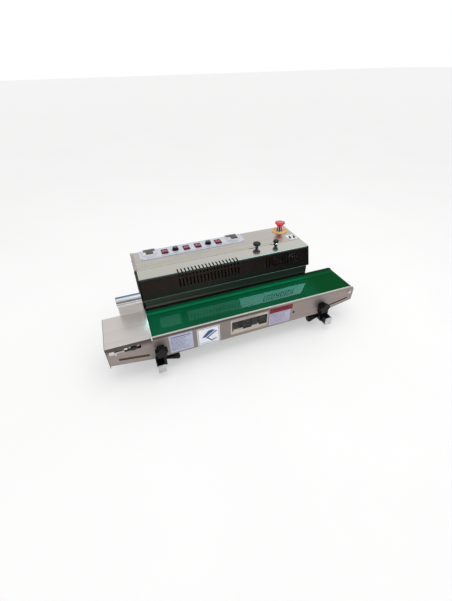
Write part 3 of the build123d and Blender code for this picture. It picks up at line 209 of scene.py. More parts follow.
def rail_steel():
    """The conveyor's front plate: warm stainless, with a painted highlight on its top lip and painted shade
    below it.
    """
    finish = brushed_steel("side_steel", (0.345, 0.290, 0.268), 0.46, "X", cloud=0.16)
    finish.shader.inputs["Metallic"].default_value = 0.55
    # Darker along the middle stretch of the plate.
    dull = finish.sum(finish.band("X", -0.260, 0.060, 0.120), 0.42, "MULTIPLY")
    base = finish.mix(dull, finish.colour, (0.165, 0.140, 0.122))
    # Painted shade in a band below the top lip, strongest towards the left.
    reach = finish.remap(finish.axis("X"), 0.06, 0.14, 0.90, 0.12)
    shade = finish.sum(finish.band("Z", PLATE_TOP - 0.0105, PLATE_TOP - 0.0030, 0.0015), reach, "MULTIPLY")
    base = finish.mix(shade, base, (0.075, 0.058, 0.056))
    # Painted shade on the plate just below the infeed cover plate.
    under = finish.remap(finish.axis("Z"), PLATE_TOP - 0.0260, PLATE_TOP - 0.0130, 0.0, 0.85)
    covered = finish.remap(finish.axis("X"), BELT_START - 0.0040, BELT_START + 0.0010, 1.0, 0.0)
    base = finish.mix(finish.sum(under, covered, "MULTIPLY"), base, (0.100, 0.080, 0.080))
    # Painted shade on every face behind the front face, so that the slots read dark.
    inside = finish.remap(finish.axis("Y"), PLATE_Y + 0.0002, PLATE_Y + 0.0004, 0.0, 1.0)
    base = finish.mix(inside, base, (0.020, 0.012, 0.010))
    # Painted highlight along the top lip.
    lip = finish.band("Z", PLATE_TOP - 0.0015, PLATE_TOP + 0.0020, 0.0003)
    base = finish.mix(lip, base, (0.62, 0.60, 0.575))
    finish.paint(base)
    return finish


def cover_plate_steel():
    """The plate over the infeed end: pale on top, a painted highlight on its hem, painted shade on its
    turned-down edges.
    """
    finish = brushed_steel("cover_steel", (0.74, 0.70, 0.665), 0.36, "X", cloud=0.05, grain=0.06)
    # Painted shade on the turned-down front flange.
    flange = finish.remap(finish.axis("Z"), PLATE_TOP, PLATE_TOP + 0.0006, 1.0, 0.0)
    base = finish.mix(finish.sum(flange, 0.95, "MULTIPLY"), finish.colour, (0.070, 0.058, 0.056))
    # Painted highlight along the hem.
    hem = finish.remap(finish.axis("X"), BELT_START - 0.0035, BELT_START - 0.0027, 0.0, 1.0)
    base = finish.mix(hem, base, (0.88, 0.88, 0.87))
    # Painted shade on the turned-down left edge.
    edge = finish.remap(finish.axis("X"), INFEED_LEFT + 0.0014, INFEED_LEFT + 0.0019, 0.9, 0.0)
    finish.paint(finish.mix(edge, base, (0.075, 0.062, 0.058)))
    return finish


def guide_chrome():
    """The infeed guides: bright half-round with a painted bluish reflection along its top edge, over a pale
    satin plate.
    """
    finish = machined("guide_chrome", (0.80, 0.83, 0.88), 0.16, (60.0, 300.0, 300.0), (0.95, 0.95, 0.97))
    # Painted reflection: the top edge is tinted blue-grey.
    edge = finish.remap(finish.axis("Z"), GUIDE_TOP - 0.0080, GUIDE_TOP - 0.0035, 0.0, 0.85)
    base = finish.mix(edge, finish.colour, (0.20, 0.25, 0.30))
    low = finish.remap(finish.axis("Z"), GUIDE_TOP - 0.0385, GUIDE_TOP - 0.0395, 0.0, 1.0)
    finish.paint(finish.mix(low, base, (0.95, 0.95, 0.94)))
    satin = finish.remap(low, 0.0, 1.0, 0.14, 0.42)
    finish.feed(finish.shader.inputs["Roughness"], satin)
    return finish


def take_up_steel():
    """The axles: a bright take-up screw and bracket, with the sliding block and bolts darkened."""
    finish = machined("take_up_steel", (0.66, 0.64, 0.62), 0.24)
    block_left, tail_axle_left = -0.3730, 0.3900
    dark = finish.band("X", block_left, tail_axle_left, 0.0008)
    finish.paint(finish.mix(dark, finish.colour, (0.05, 0.045, 0.042)))
    return finish


def mirror_painted_dark():
    """Polished cover sheet, its front painted dark as a painted reflection of a dark room, with a painted
    reflection of the belt's green towards its lower edge and painted shade along the bend.
    """
    # Painted reflection: the front's dark colour stands in for the dark room it mirrors.
    colour = (0.084, 0.084, 0.081)
    finish = Finish("mirror_painted_dark", colour, metallic=1.0, roughness=0.06)
    height = finish.axis("Z")
    # Painted reflection of the belt's green towards the lower edge.
    belt_reflection_share = finish.remap(height, COVER_LOW.z - 0.002, COVER_LOW.z + 0.036, 1.0, 0.0)
    ripple = finish.noise((5.0, 20.0, 28.0), detail=2.0, warp=0.4)
    smear = finish.noise((26.0, 40.0, 9.0), detail=4.0, roughness=0.65)
    base = finish.mix(finish.sum(smear, 0.5, "MULTIPLY"), colour, (0.106, 0.104, 0.098))
    base = finish.mix(finish.sum(belt_reflection_share, 0.80, "MULTIPLY"), base, (0.030, 0.100, 0.084))
    # Painted shade along the bend, so that it shows little highlight.
    bend = finish.remap(height, COVER_HIGH.z - 0.0045, COVER_HIGH.z - 0.0030, 0.0, 0.85)
    base = finish.mix(bend, base, (0.016, 0.015, 0.015))
    flat_top = finish.remap(height, COVER_HIGH.z - 0.00025, COVER_HIGH.z - 0.00005, 0.0, 1.0)
    base = finish.mix(flat_top, base, (0.56, 0.545, 0.49))
    gap = finish.remap(finish.axis("Y"), COVER_HIGH.y - 0.0012, COVER_HIGH.y - 0.0006, 0.0, 0.9)
    base = finish.mix(gap, base, (0.05, 0.045, 0.04))
    worn = finish.sum(finish.edges(0.0005), 0.10, "MULTIPLY")
    base = finish.mix(worn, base, (0.30, 0.31, 0.29))
    finish.paint(base)
    rough_front = finish.remap(smear, 0.0, 1.0, 0.020, 0.040)
    dull_bend = finish.remap(height, COVER_HIGH.z - 0.0060, COVER_HIGH.z - 0.0040, 0.0, 0.45)
    shine = finish.sum(dull_bend, finish.remap(flat_top, 0.0, 1.0, 0.0, -0.29))
    finish.feed(finish.shader.inputs["Roughness"], finish.sum(rough_front, shine))
    finish.bump(ripple, 0.0012, 0.006)
    return finish


def guard_steel():
    """The lower guard: dull olive grey, with a paler strip and a painted shadow line where it meets the
    belt.
    """
    colour = (0.095, 0.100, 0.084)
    finish = Finish("guard_steel", colour, metallic=0.6, roughness=0.34)
    streaks = finish.noise((3.0, 90.0, 90.0), detail=4.0)
    marks = finish.noise((18.0, 18.0, 40.0), detail=4.0)
    base = finish.mix(streaks, tinted(colour, 0.8), tinted(colour, 1.25))
    strip = finish.band("Z", BELT_TOP + 0.005, BELT_TOP + 0.012, 0.002)
    base = finish.mix(strip, base, (0.24, 0.25, 0.21))
    greener = finish.remap(finish.axis("X"), -0.22, 0.06, 0.0, 0.72)
    base = finish.mix(greener, base, (0.024, 0.050, 0.040))
    # Painted shadow line where the guard meets the belt.
    gap = finish.band("Z", BELT_TOP - 0.004, BELT_TOP + 0.0035, 0.001)
    base = finish.mix(gap, base, (0.012, 0.013, 0.012))
    base = finish.mix(finish.sum(finish.edges(0.0006), 0.4, "MULTIPLY"), base, (0.30, 0.32, 0.29))
    finish.paint(base)
    finish.rough(marks, 0.28, 0.42)
    finish.soften(0.0006)
    finish.bump(streaks, 0.00005, 0.4)
    return finish


def belt_green():
    """Glossy PVC belt: fine fabric imprint, scuffs along its travel, a painted pale reflection and a painted
    dark line along its rear edge, and painted shade on its free end past the head.
    """
    colour = (0.003, 0.088, 0.036)
    finish = Finish("belt_green", colour, roughness=0.34, Coat_Weight=0.06, Coat_Roughness=0.02)
    scuffs = finish.noise((3.0, 70.0, 30.0), detail=5.0, roughness=0.6)
    clouds = finish.noise((6.0, 14.0, 8.0), detail=3.0, warp=0.4)
    base = finish.mix(clouds, tinted(colour, 0.76), tinted(colour, 1.10))
    base = finish.mix(finish.sum(scuffs, 0.16, "MULTIPLY"), base, (0.008, 0.13, 0.055))
    past_head = (COVER_HIGH.x - 0.054, COVER_HIGH.x - 0.004)
    # Painted shade: past the head the belt is painted darker.
    free_end = finish.remap(finish.axis("X"), *past_head, 0.0, 0.85)
    base = finish.mix(free_end, base, (0.0005, 0.062, 0.012))
    # Painted reflection of the cover's pale lip: a paler strip near the rear edge, fading past the head.
    bright = finish.remap(finish.axis("X"), *past_head, 0.75, 0.20)
    back = finish.band("Y", BELT_BACK - 0.0245, BELT_BACK - 0.0120, 0.0012)
    base = finish.mix(finish.sum(back, bright, "MULTIPLY"), base, (0.006, 0.185, 0.070))
    # Painted reflection: a dark line just in front of the pale strip.
    line = finish.band("Y", BELT_BACK - 0.0300, BELT_BACK - 0.0260, 0.0012)
    painted_dark_line = finish.sum(line, 0.65, "MULTIPLY")
    base = finish.mix(painted_dark_line, base, (0.001, 0.036, 0.015))
    base = finish.mix(finish.sum(finish.edges(0.0006), 0.5, "MULTIPLY"), base, (0.04, 0.20, 0.11))
    finish.paint(base)
    finish.shader.inputs["Specular IOR Level"].default_value = 0.0
    finish.rough(scuffs, 0.28, 0.42)
    weave = finish.noise((900.0, 900.0, 900.0), detail=2.0)
    finish.bump(weave, 0.00004, 0.35)
    finish.bump(clouds, 0.0015, 0.02)
    return finish


def moulded(
    name, colour, rough, grain_size=700.0, depth=0.00006, wear=(0.16, 0.16, 0.17), specular=0.5, coat=0.0
):
    """Moulded plastic, rubber or paint: spark grain, faint flow marks and rubbed edges."""
    finish = Finish(name, colour, roughness=rough, Specular_IOR_Level=specular, Coat_Weight=coat)
    grain = finish.noise((grain_size,) * 3, detail=2.0)
    flow = finish.noise((35.0, 35.0, 35.0), detail=4.0, warp=0.5)
    base = finish.mix(flow, tinted(colour, 0.75), tinted(colour, 1.3))
    base = finish.mix(finish.sum(finish.edges(0.0007), 0.45, "MULTIPLY"), base, wear)
    finish.paint(base)
    finish.rough(flow, rough - 0.07, rough + 0.09)
    finish.soften(0.0005)
    finish.bump(grain, depth, 0.5)
    return finish


def machined(name, colour, rough, scale=(420.0, 30.0, 420.0), wear=(0.88, 0.88, 0.88)):
    """Turned or milled metal with tool lines, stains and bright edges."""
    finish = Finish(name, colour, metallic=1.0, roughness=rough)
    lines = finish.noise(scale, detail=3.0)
    stain = finish.noise((45.0, 45.0, 45.0), detail=4.0, warp=0.6)
    base = finish.mix(lines, tinted(colour, 0.86), tinted(colour, 1.12))
    base = finish.mix(finish.sum(stain, 0.30, "MULTIPLY"), base, tinted(colour, 0.6))
    base = finish.mix(finish.sum(finish.edges(0.0006), 0.5, "MULTIPLY"), base, wear)
    finish.paint(base)
    finish.rough(stain, rough - 0.05, rough + 0.14)
    finish.soften(0.0004)
    finish.bump(lines, 0.00003, 0.5)
    return finish


def printed_panel():
    """The pale control panel, with a thin blue rule near its front edge and soft grey fading."""
    finish = Finish(
        "printed_panel", (0.70, 0.71, 0.78), roughness=0.38, Coat_Weight=0.25, Coat_Roughness=0.25
    )
    fade = finish.noise((9.0, 22.0, 9.0), detail=4.0)
    speckle = finish.noise((600.0, 600.0, 600.0), detail=2.0)
    base = finish.mix(fade, (0.53, 0.55, 0.62), (0.64, 0.66, 0.73))
    rule = finish.band("Y", PANEL_LOW.y + 0.0035, PANEL_LOW.y + 0.0055, 0.0006)
    base = finish.mix(rule, base, (0.30, 0.34, 0.52))
    base = finish.mix(finish.sum(speckle, 0.08, "MULTIPLY"), base, (0.5, 0.5, 0.55))
    base = finish.mix(finish.sum(finish.edges(0.0006), 0.4, "MULTIPLY"), base, (0.5, 0.5, 0.5))
    finish.paint(base)
    finish.rough(fade, 0.32, 0.46)
    finish.soften(0.0005)
    finish.bump(speckle, 0.00003, 0.3)
    return finish


def printed(name, colour, other, wear=(0.6, 0.6, 0.62), gloss=0.3, rough=0.42):
    """Printed vinyl or lacquer on metal: uneven ink, dust and a worn rim."""
    finish = Finish(name, colour, roughness=rough, Coat_Weight=gloss, Coat_Roughness=0.2)
    finish.shader.inputs["Specular IOR Level"].default_value = min(0.5, gloss * 2)
    ink = finish.noise((70.0, 70.0, 70.0), detail=4.0, warp=0.4)
    dust = finish.noise((900.0, 900.0, 900.0), detail=1.0, low=0.55, high=0.8)
    base = finish.mix(ink, colour, other)
    base = finish.mix(finish.sum(dust, 0.15, "MULTIPLY"), base, wear)
    finish.paint(base)
    finish.rough(ink, rough - 0.08, rough + 0.10)
    finish.bump(ink, 0.00008, 0.25)
    return finish


def striped_neck():
    """The stop button's neck: plated, with dark ribs all the way round."""
    finish = Finish("striped_neck", (0.75, 0.75, 0.77), metallic=0.9, roughness=0.22)
    rib_count, first_rib = 8, math.radians(-26.0)
    middle = centre("estop_stem")
    x = finish.sum(finish.axis("X"), -middle.x)
    y = finish.sum(finish.axis("Y"), -middle.y)
    angle = finish.sum(y, x, "ARCTAN2")
    turns = finish.sum(finish.sum(angle, rib_count, "MULTIPLY"), first_rib)
    ribs = finish.remap(finish.sum(turns, 0.0, "SINE"), -0.75, -0.50, 0.0, 1.0)
    base = finish.mix(ribs, (0.80, 0.80, 0.82), (0.012, 0.012, 0.014))
    finish.paint(base)
    finish.feed(finish.shader.inputs["Metallic"], finish.remap(ribs, 0.0, 1.0, 0.95, 0.0))
    finish.bump(ribs, 0.0003, 0.6)
    return finish


def lit(name, colour, power):
    """A display segment: a lit plastic face with a slight mottled falloff."""
    finish = Finish(name, colour, roughness=0.4)
    mottle = finish.noise((500.0, 500.0, 500.0), detail=2.0)
    base = finish.mix(mottle, tinted(colour, 0.8), tinted(colour, 1.1))
    finish.paint(base)
    finish.feed(finish.shader.inputs["Emission Color"], base)
    finish.shader.inputs["Emission Strength"].default_value = power
    return finish


FINISHES = (
    brushed_steel("top_steel", (0.56, 0.540, 0.490), 0.27),
    rail_steel(),
    # The rear plate's steel is painted near-black, as painted shade behind the belt.
    brushed_steel("rear_steel_painted_dark", (0.055, 0.052, 0.047), 0.36),
    cover_plate_steel(),
    guide_chrome(),
    take_up_steel(),
    brushed_steel("end_steel", (0.46, 0.42, 0.39), 0.34, "Y"),
    brushed_steel("inner_steel", (0.50, 0.50, 0.48), 0.36),
    brushed_steel("nameplate", (0.56, 0.50, 0.44), 0.34),
    mirror_painted_dark(),
    guard_steel(),
    belt_green(),
    printed_panel(),
    striped_neck(),
    # The heater blocks' brass is painted dark, as painted shade inside the head behind the vents.
    machined("brass_painted_dark", (0.10, 0.065, 0.035), 0.48, wear=(0.2, 0.15, 0.09)),
    machined("zinc_steel", (0.60, 0.60, 0.61), 0.26),
    machined("aluminium", (0.72, 0.73, 0.74), 0.34),
    # colour, roughness, grain's fineness, grain's depth, worn edge
    moulded("black_paint", (0.004, 0.004, 0.005), 0.26, 420.0, 0.00010, (0.05, 0.05, 0.055), specular=0.16),
    # Painted shade: the black strip behind the right slot.
    moulded("slot_shade_black", (0.002, 0.002, 0.002), 0.9, wear=(0.004, 0.004, 0.004), specular=0.0),
    moulded("dark_steel", (0.020, 0.020, 0.022), 0.46, 380.0, 0.00008, (0.4, 0.4, 0.4)),
    moulded("cap_dull", (0.060, 0.064, 0.070), 0.34, wear=(0.3, 0.3, 0.31)),
    moulded("cap_grey", (0.50, 0.50, 0.51), 0.42, wear=(0.75, 0.75, 0.76)),
    moulded("rubber_black", (0.010, 0.010, 0.011), 0.72, 900.0, 0.00012),
    moulded("band_brown", (0.10, 0.055, 0.028), 0.45, 1200.0, 0.00010, (0.25, 0.16, 0.09)),
    moulded("black_plastic", (0.004, 0.004, 0.005), 0.22, wear=(0.05, 0.05, 0.055), specular=0.18),
    moulded("pale_plastic", (0.60, 0.61, 0.63), 0.36, wear=(0.85, 0.85, 0.87)),
    moulded("rocker_red", (0.23, 0.018, 0.040), 0.20, 500.0, 0.00002, (0.50, 0.20, 0.25), coat=0.15),
    moulded("estop_red", (0.62, 0.012, 0.034), 0.26, 400.0, 0.00002, (0.85, 0.20, 0.24), coat=0.25),
    moulded("ring_yellow", (0.72, 0.43, 0.15), 0.38, 500.0, 0.00003, (0.88, 0.66, 0.38)),
    moulded("board_green", (0.02, 0.13, 0.05), 0.42, 300.0, 0.00010, (0.3, 0.4, 0.3)),
    moulded("cast_grey", (0.20, 0.21, 0.22), 0.52, 160.0, 0.00025, (0.5, 0.5, 0.5)),
    # the two colours that the ink runs between, worn rim, gloss
    printed("glass_black", (0.010, 0.011, 0.012), (0.022, 0.024, 0.026), (0.10, 0.10, 0.10), rough=0.16),
    printed("label_white", (0.38, 0.41, 0.57), (0.46, 0.49, 0.65)),
    printed("label_lilac", (0.36, 0.33, 0.47), (0.46, 0.43, 0.57)),
    printed("sticker_white", (0.74, 0.74, 0.80), (0.84, 0.84, 0.88)),
    # Painted highlight: the teal line along the cover's folded lip.
    printed("lip_highlight", (0.13, 0.20, 0.185), (0.19, 0.28, 0.26), (0.3, 0.36, 0.35), 0.1),
    printed("ink_white", (0.70, 0.70, 0.70), (0.80, 0.80, 0.80)),
    printed("ink_blue", (0.020, 0.075, 0.20), (0.035, 0.11, 0.26), (0.2, 0.25, 0.35), 0.1),
    printed("ink_grey", (0.10, 0.11, 0.17), (0.16, 0.17, 0.25), gloss=0.1),
    printed("ink_black", (0.012, 0.012, 0.012), (0.03, 0.03, 0.03), (0.12, 0.12, 0.12), 0.04),
    printed("ink_pale", (0.13, 0.125, 0.115), (0.19, 0.18, 0.165), gloss=0.05),
    printed("ink_red", (0.16, 0.009, 0.018), (0.22, 0.014, 0.026), (0.4, 0.15, 0.15), 0.08),
    printed("ink_rose", (0.30, 0.09, 0.12), (0.38, 0.13, 0.16), (0.4, 0.2, 0.2), 0.1),
    printed("ink_rust", (0.045, 0.006, 0.010), (0.075, 0.010, 0.014), (0.2, 0.1, 0.1), 0.05),
    # Painted shade: the umber strip behind the left slot.
    printed("slot_shade_umber", (0.070, 0.050, 0.044), (0.10, 0.075, 0.066), gloss=0.04),
    lit("digit_red", (0.22, 0.035, 0.03), 0.10),
    lit("digit_green", (0.05, 0.16, 0.08), 0.10),
)
LOOKS = {finish.name: finish for finish in FINISHES}

BY_SLOT = {
    "stainless": "top_steel",
    "end_steel": "end_steel",
    "mirror_dark": "mirror_painted_dark",
    "white_plate": "printed_panel",
    "brass": "brass_painted_dark",
}
BY_NODE = {
    "conveyor_front_plate": "side_steel",
    "conveyor_rear_plate": "rear_steel_painted_dark",
    "infeed_cover_plate": "cover_steel",
    "slider_bed": "inner_steel",
    "base_pan": "inner_steel",
    "right_end_panel": "end_steel",
    "lower_guard": "guard_steel",
    "infeed_guides": "guide_chrome",
    "roller_axles": "take_up_steel",
    "tie_bars": "take_up_steel",
    "estop_body": "striped_neck",
    "estop_stem": "striped_neck",
}


def dress(piece, look):
    piece.data.materials.clear()
    piece.data.materials.append(LOOKS[look].material)


for node_name, node_object in NODES.items():
    slot_name = node_object.data.materials[0].name.split(".")[0]
    dress(node_object, BY_NODE.get(node_name) or BY_SLOT.get(slot_name) or slot_name)


# ---------------------------------------------------------------- mesh helpers
class Outline:
    """Flat shapes on a plane, given by its origin and two directions, raised into thin solids."""

    def __init__(self, origin, right, up):
        self.origin = Vector(origin)
        self.right = Vector(right).normalized()
        self.up = Vector(up).normalized()
        self.out = self.right.cross(self.up)
        self.mesh = bmesh.new()

    def point(self, u, v, w):
        return self.origin + self.right * u + self.up * v + self.out * w

    def solid(self, outline, low, high):
        bottom = [self.mesh.verts.new(self.point(u, v, low)) for u, v in outline]
        top = [self.mesh.verts.new(self.point(u, v, high)) for u, v in outline]
        self.mesh.faces.new(list(reversed(bottom)))
        self.mesh.faces.new(top)
        count = len(outline)
        for index in range(count):
            after = (index + 1) % count
            self.mesh.faces.new((bottom[index], bottom[after], top[after], top[index]))

    def box(self, u, v, low, high, corner=0.0):
        """A rectangle between two u values and two v values, with rounded corners if asked."""
        if corner <= 0.0:
            self.solid([(u[0], v[0]), (u[1], v[0]), (u[1], v[1]), (u[0], v[1])], low, high)
            return
        outline = []
        rounds = (
            (u[1] - corner, v[0] + corner, -90),
            (u[1] - corner, v[1] - corner, 0),
            (u[0] + corner, v[1] - corner, 90),
            (u[0] + corner, v[0] + corner, 180),
        )
        for middle_u, middle_v, start in rounds:
            for step in range(7):
                angle = math.radians(start + 15 * step)
                outline.append((middle_u + corner * math.cos(angle), middle_v + corner * math.sin(angle)))
        self.solid(outline, low, high)

    def border(self, u, v, line, low, high):
        """Four strips along the inside of a rectangle's sides."""
        self.box(u, (v[0], v[0] + line), low, high)
        self.box(u, (v[1] - line, v[1]), low, high)
        self.box((u[0], u[0] + line), v, low, high)
        self.box((u[1] - line, u[1]), v, low, high)

    def disc(self, u, v, radius, low, high, sides=32, hole=0.0):
        if hole <= 0.0:
            turn = [2 * math.pi * index / sides for index in range(sides)]
            self.solid([(u + radius * math.cos(a), v + radius * math.sin(a)) for a in turn], low, high)
            return
        for index in range(sides):
            a, b = (2 * math.pi * (index + step) / sides for step in (0, 1))
            self.wedge((u, v), (hole, radius), (a, b), low, high)

    def wedge(self, middle, radii, angles, low, high):
        """A short piece of a ring, between two radii and two angles."""
        corners = zip((radii[0], radii[1], radii[1], radii[0]), (angles[0], angles[0], angles[1], angles[1]))
        outline = [(middle[0] + r * math.cos(a), middle[1] + r * math.sin(a)) for r, a in corners]
        self.solid(outline, low, high)

    def rows(self, u, v, pitch, height, low, high, seed, gap=0.0016, long=(0.004, 0.013)):
        """Rows of short plain dashes that stand for printing without any lettering."""
        draw = random.Random(seed)
        line = v[1] - height
        while line > v[0]:
            start = u[0]
            end = u[1] - draw.uniform(0.0, 0.35) * (u[1] - u[0])
            while start < end:
                stop = min(end, start + draw.uniform(*long))
                self.box((start, stop), (line, line + height), low, high)
                start = stop + gap
            line -= pitch

    def make(self, name, look, body, slot, bevel=0.0):
        bmesh.ops.remove_doubles(self.mesh, verts=self.mesh.verts, dist=1e-7)
        bmesh.ops.recalc_face_normals(self.mesh, faces=self.mesh.faces)
        mesh = bpy.data.meshes.new(name)
        self.mesh.to_mesh(mesh)
        self.mesh.free()
        piece = bpy.data.objects.new(name, mesh)
        bpy.context.scene.collection.objects.link(piece)
        dress(piece, look)
        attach(piece, body)
        if bevel > 0.0:
            rounding = piece.modifiers.new("bevel", "BEVEL")
            rounding.width = bevel
            rounding.segments = 2
            rounding.limit_method = "ANGLE"


def on_front(y=PLATE_Y):
    """The conveyor's front face: u runs along X and v up."""
    return Outline((0, y, 0), (1, 0, 0), (0, 0, 1))


def on_top(x=0.0, y=0.0, z=PANEL_HIGH.z):
    """A level face, by default the control plate's: u runs along X and v along Y."""
    return Outline((x, y, z), (1, 0, 0), (0, 1, 0))


# ---------------------------------------------------------------- front plate labels
def instruction_label():
    """A pale sheet with a title bar and lines of plain dashes."""
    u, v = (-0.243, -0.168), (0.066, 0.137)
    sheet = on_front()
    sheet.box(u, v, 0.0, STICKER, 0.002)
    sheet.make("instruction_label", "label_white", "conveyor", "white_plate")
    lines = on_front()
    lines.box(inset(u, 0.007), (v[1] - 0.0105, v[1] - 0.0070), STICKER, PRINT)
    lines.rows(inset(u, 0.006), (v[0] + 0.006, v[1] - 0.015), 0.0052, 0.0014, STICKER, PRINT, 4)
    lines.make("instruction_label_print", "ink_grey", "conveyor", "white_plate")


def picture_label():
    """A white label with a dark frame and a plain drawing of a bag lying on a tray."""
    u, v = (-0.154, -0.079), (0.062, 0.134)
    sheet = on_front()
    sheet.box(u, v, 0.0, STICKER, 0.003)
    sheet.make("picture_label", "sticker_white", "conveyor", "white_plate")
    bag = [(-0.140, 0.094), (-0.127, 0.094), (-0.095, 0.117), (-0.104, 0.122), (-0.118, 0.119)]
    tray_side = [(-0.128, 0.090), (-0.122, 0.088), (-0.088, 0.112), (-0.092, 0.115)]
    tray_leg = [(-0.122, 0.088), (-0.112, 0.077), (-0.108, 0.079), (-0.118, 0.090)]
    tray_foot = [(-0.112, 0.077), (-0.109, 0.074), (-0.090, 0.080), (-0.092, 0.083)]
    drawing = on_front()
    drawing.border(inset(u, 0.0025), inset(v, 0.0025), 0.0015, STICKER, PRINT)
    for shape in (bag, tray_side, tray_leg, tray_foot):
        drawing.solid(shape, STICKER, PRINT)
    drawing.rows((u[0] + 0.008, u[1] - 0.009), (0.0668, 0.0720), 0.0042, 0.0012, STICKER, PRINT, 9)
    drawing.make("picture_label_print", "ink_blue", "conveyor", "white_plate")


def rating_plate():
    """A metal plate with a blank black table on it, held by four rivets."""
    u, v, face = (-0.042, 0.091), (0.0750, 0.1365), 0.0008
    plate = on_front()
    plate.box(u, v, 0.0, face, 0.003)
    plate.make("rating_plate", "nameplate", "conveyor", "stainless", 0.0002)

    field = on_front()
    field_top, table = v[1] - 0.0100, face + 0.0003
    columns = (((-0.0370, 0.0005), 0.0955), ((0.0005, 0.0320), 0.0880))
    columns += (((0.0320, 0.0585), 0.0945), ((0.0585, 0.0880), 0.0880))
    for column, foot in columns:
        field.box(column, (foot, field_top), face, table)
    field.box((-0.0370, -0.0325), (0.0880, 0.0955), face, table)
    field.make("rating_plate_field", "ink_black", "conveyor", "stainless")

    marks = on_front()
    for seed, left in enumerate((-0.034, 0.003, 0.034, 0.061), start=20):
        cell = (left, left + 0.024)
        marks.rows(cell, (0.0975, 0.1240), 0.0078, 0.0010, table, table + 0.0002, seed, 0.003)
    marks.make("rating_plate_marks", "ink_pale", "conveyor", "stainless")

    notes = on_front()
    low, high = face, face + 0.0002
    notes.rows((-0.030, -0.002), (0.0885, 0.0935), 0.0040, 0.0012, low, high, 32)
    notes.rows((0.034, 0.057), (0.0885, 0.0930), 0.0040, 0.0012, low, high, 33)
    notes.rows((-0.034, 0.050), (0.1285, 0.1340), 0.0040, 0.0012, low, high, 31)
    notes.make("rating_plate_notes", "ink_grey", "conveyor", "stainless")

    rivets = on_front()
    for rivet_u in inset(u, 0.0040):
        for rivet_v in inset(v, 0.0035):
            rivets.disc(rivet_u, rivet_v, 0.0016, face, face + 0.0010, 20)
    rivets.make("rating_plate_rivets", "zinc_steel", "conveyor", "zinc_steel", 0.0004)


def notice_label():
    """A pale notice under a red header, with plain dashes for its words."""
    left, header_foot = 0.097, 0.1205
    sheet = on_front()
    sheet.box((left, 0.1765), (0.070, header_foot), 0.0, STICKER)
    sheet.make("notice_label", "label_lilac", "conveyor", "white_plate")
    header = on_front()
    header.box((left, 0.183), (header_foot, 0.141), 0.0, STICKER)
    header.make("notice_label_header", "ink_red", "conveyor", "white_plate")
    bar = on_front()
    bar_row = (0.1265, 0.1350)
    bar.rows((left + 0.013, 0.178), bar_row, 0.006, 0.0040, STICKER, PRINT, 12, 0.0024, (0.006, 0.014))
    bar.make("notice_label_bars", "ink_rust", "conveyor", "white_plate")
    lines = on_front()
    lines.rows((left + 0.004, 0.173), (0.073, 0.117), 0.0064, 0.0017, STICKER, PRINT, 13)
    lines.make("notice_label_print", "ink_grey", "conveyor", "white_plate")


# ---------------------------------------------------------------- controls
SEGMENTS = {
    "a": ((-0.38, 0.38), (0.86, 1.0)),
    "b": ((0.30, 0.44), (0.52, 0.92)),
    "c": ((0.30, 0.44), (0.08, 0.48)),
    "d": ((-0.38, 0.38), (0.0, 0.14)),
    "e": ((-0.44, -0.30), (0.08, 0.48)),
    "f": ((-0.44, -0.30), (0.52, 0.92)),
    "g": ((-0.38, 0.38), (0.43, 0.57)),
}
SHAPES = {0: "abcdef", 1: "bc", 2: "abged", 5: "afgcd", 6: "afgcde", 8: "abcdefg"}


CONTROLLERS = {"controller_left": -0.229, "controller_right": 0.084}
CONTROLLER_Y = 0.161
CONTROLLER_BODY = ("sealing_head", "black_plastic")


def digits(sheet, values, u, v, height, low, high):
    """Seven-segment figures, from left to right."""
    pitch, width = height * 0.72, height * 0.6
    for place, value in enumerate(values):
        middle = u + place * pitch
        for key in SHAPES[value]:
            (left, right), (foot, head) = SEGMENTS[key]
            sheet.box(
                (middle + left * width, middle + right * width),
                (v + foot * height, v + head * height),
                low,
                high,
            )


def controller_face(name):
    """The display glass and key window of a temperature controller, with its figures and keys."""
    x, wide_left = CONTROLLERS[name], name == "controller_left"
    recess, bezel = 0.0023, 0.0035
    glass_top, window_top = recess + 0.0011, bezel + 0.0004
    window = (-0.0130, 0.0130) if wide_left else (-0.0070, 0.0203)

    glass = on_top(x, CONTROLLER_Y)
    glass.box((-0.0203, 0.0203), (0.0062, 0.0193), recess, glass_top, 0.0008)
    glass.box(window, (-0.0058, 0.0062), recess, glass_top, 0.0004)
    glass.box(window, (-0.0165, -0.0062), bezel, window_top, 0.0006)
    glass.make(f"{name}_glass", "glass_black", *CONTROLLER_BODY, 0.0001)

    red = on_top(x, CONTROLLER_Y)
    digits(red, (1, 8, 0), -0.0060, 0.0080, 0.0085, glass_top, glass_top + 0.0002)
    red.make(f"{name}_reading", "digit_red", "sealing_head", "rocker_red")
    green = on_top(x, CONTROLLER_Y)
    digits(green, (1, 8, 0), -0.0030, -0.0030, 0.0060, glass_top, glass_top + 0.0002)
    green.make(f"{name}_setting", "digit_green", "sealing_head", "board_green")

    keys = on_top(x, CONTROLLER_Y)
    half_key, key_pitch = 0.0024, 0.0070
    for step in (-1, 0, 1):
        u = (0.0 if wide_left else 0.0060) + step * key_pitch
        keys.box((u - half_key, u + half_key), (-0.0135, -0.0085), window_top, 0.0049, 0.0008)
    keys.make(f"{name}_keys", "dark_steel", *CONTROLLER_BODY, 0.0003)

    rules = on_top(x, CONTROLLER_Y)
    for v in ((-0.0200, -0.0190), (0.0200, 0.0208)):
        rules.box((-0.0205, 0.0205), v, bezel, bezel + 0.0002)
    rules.make(f"{name}_rules", "ink_grey", *CONTROLLER_BODY)


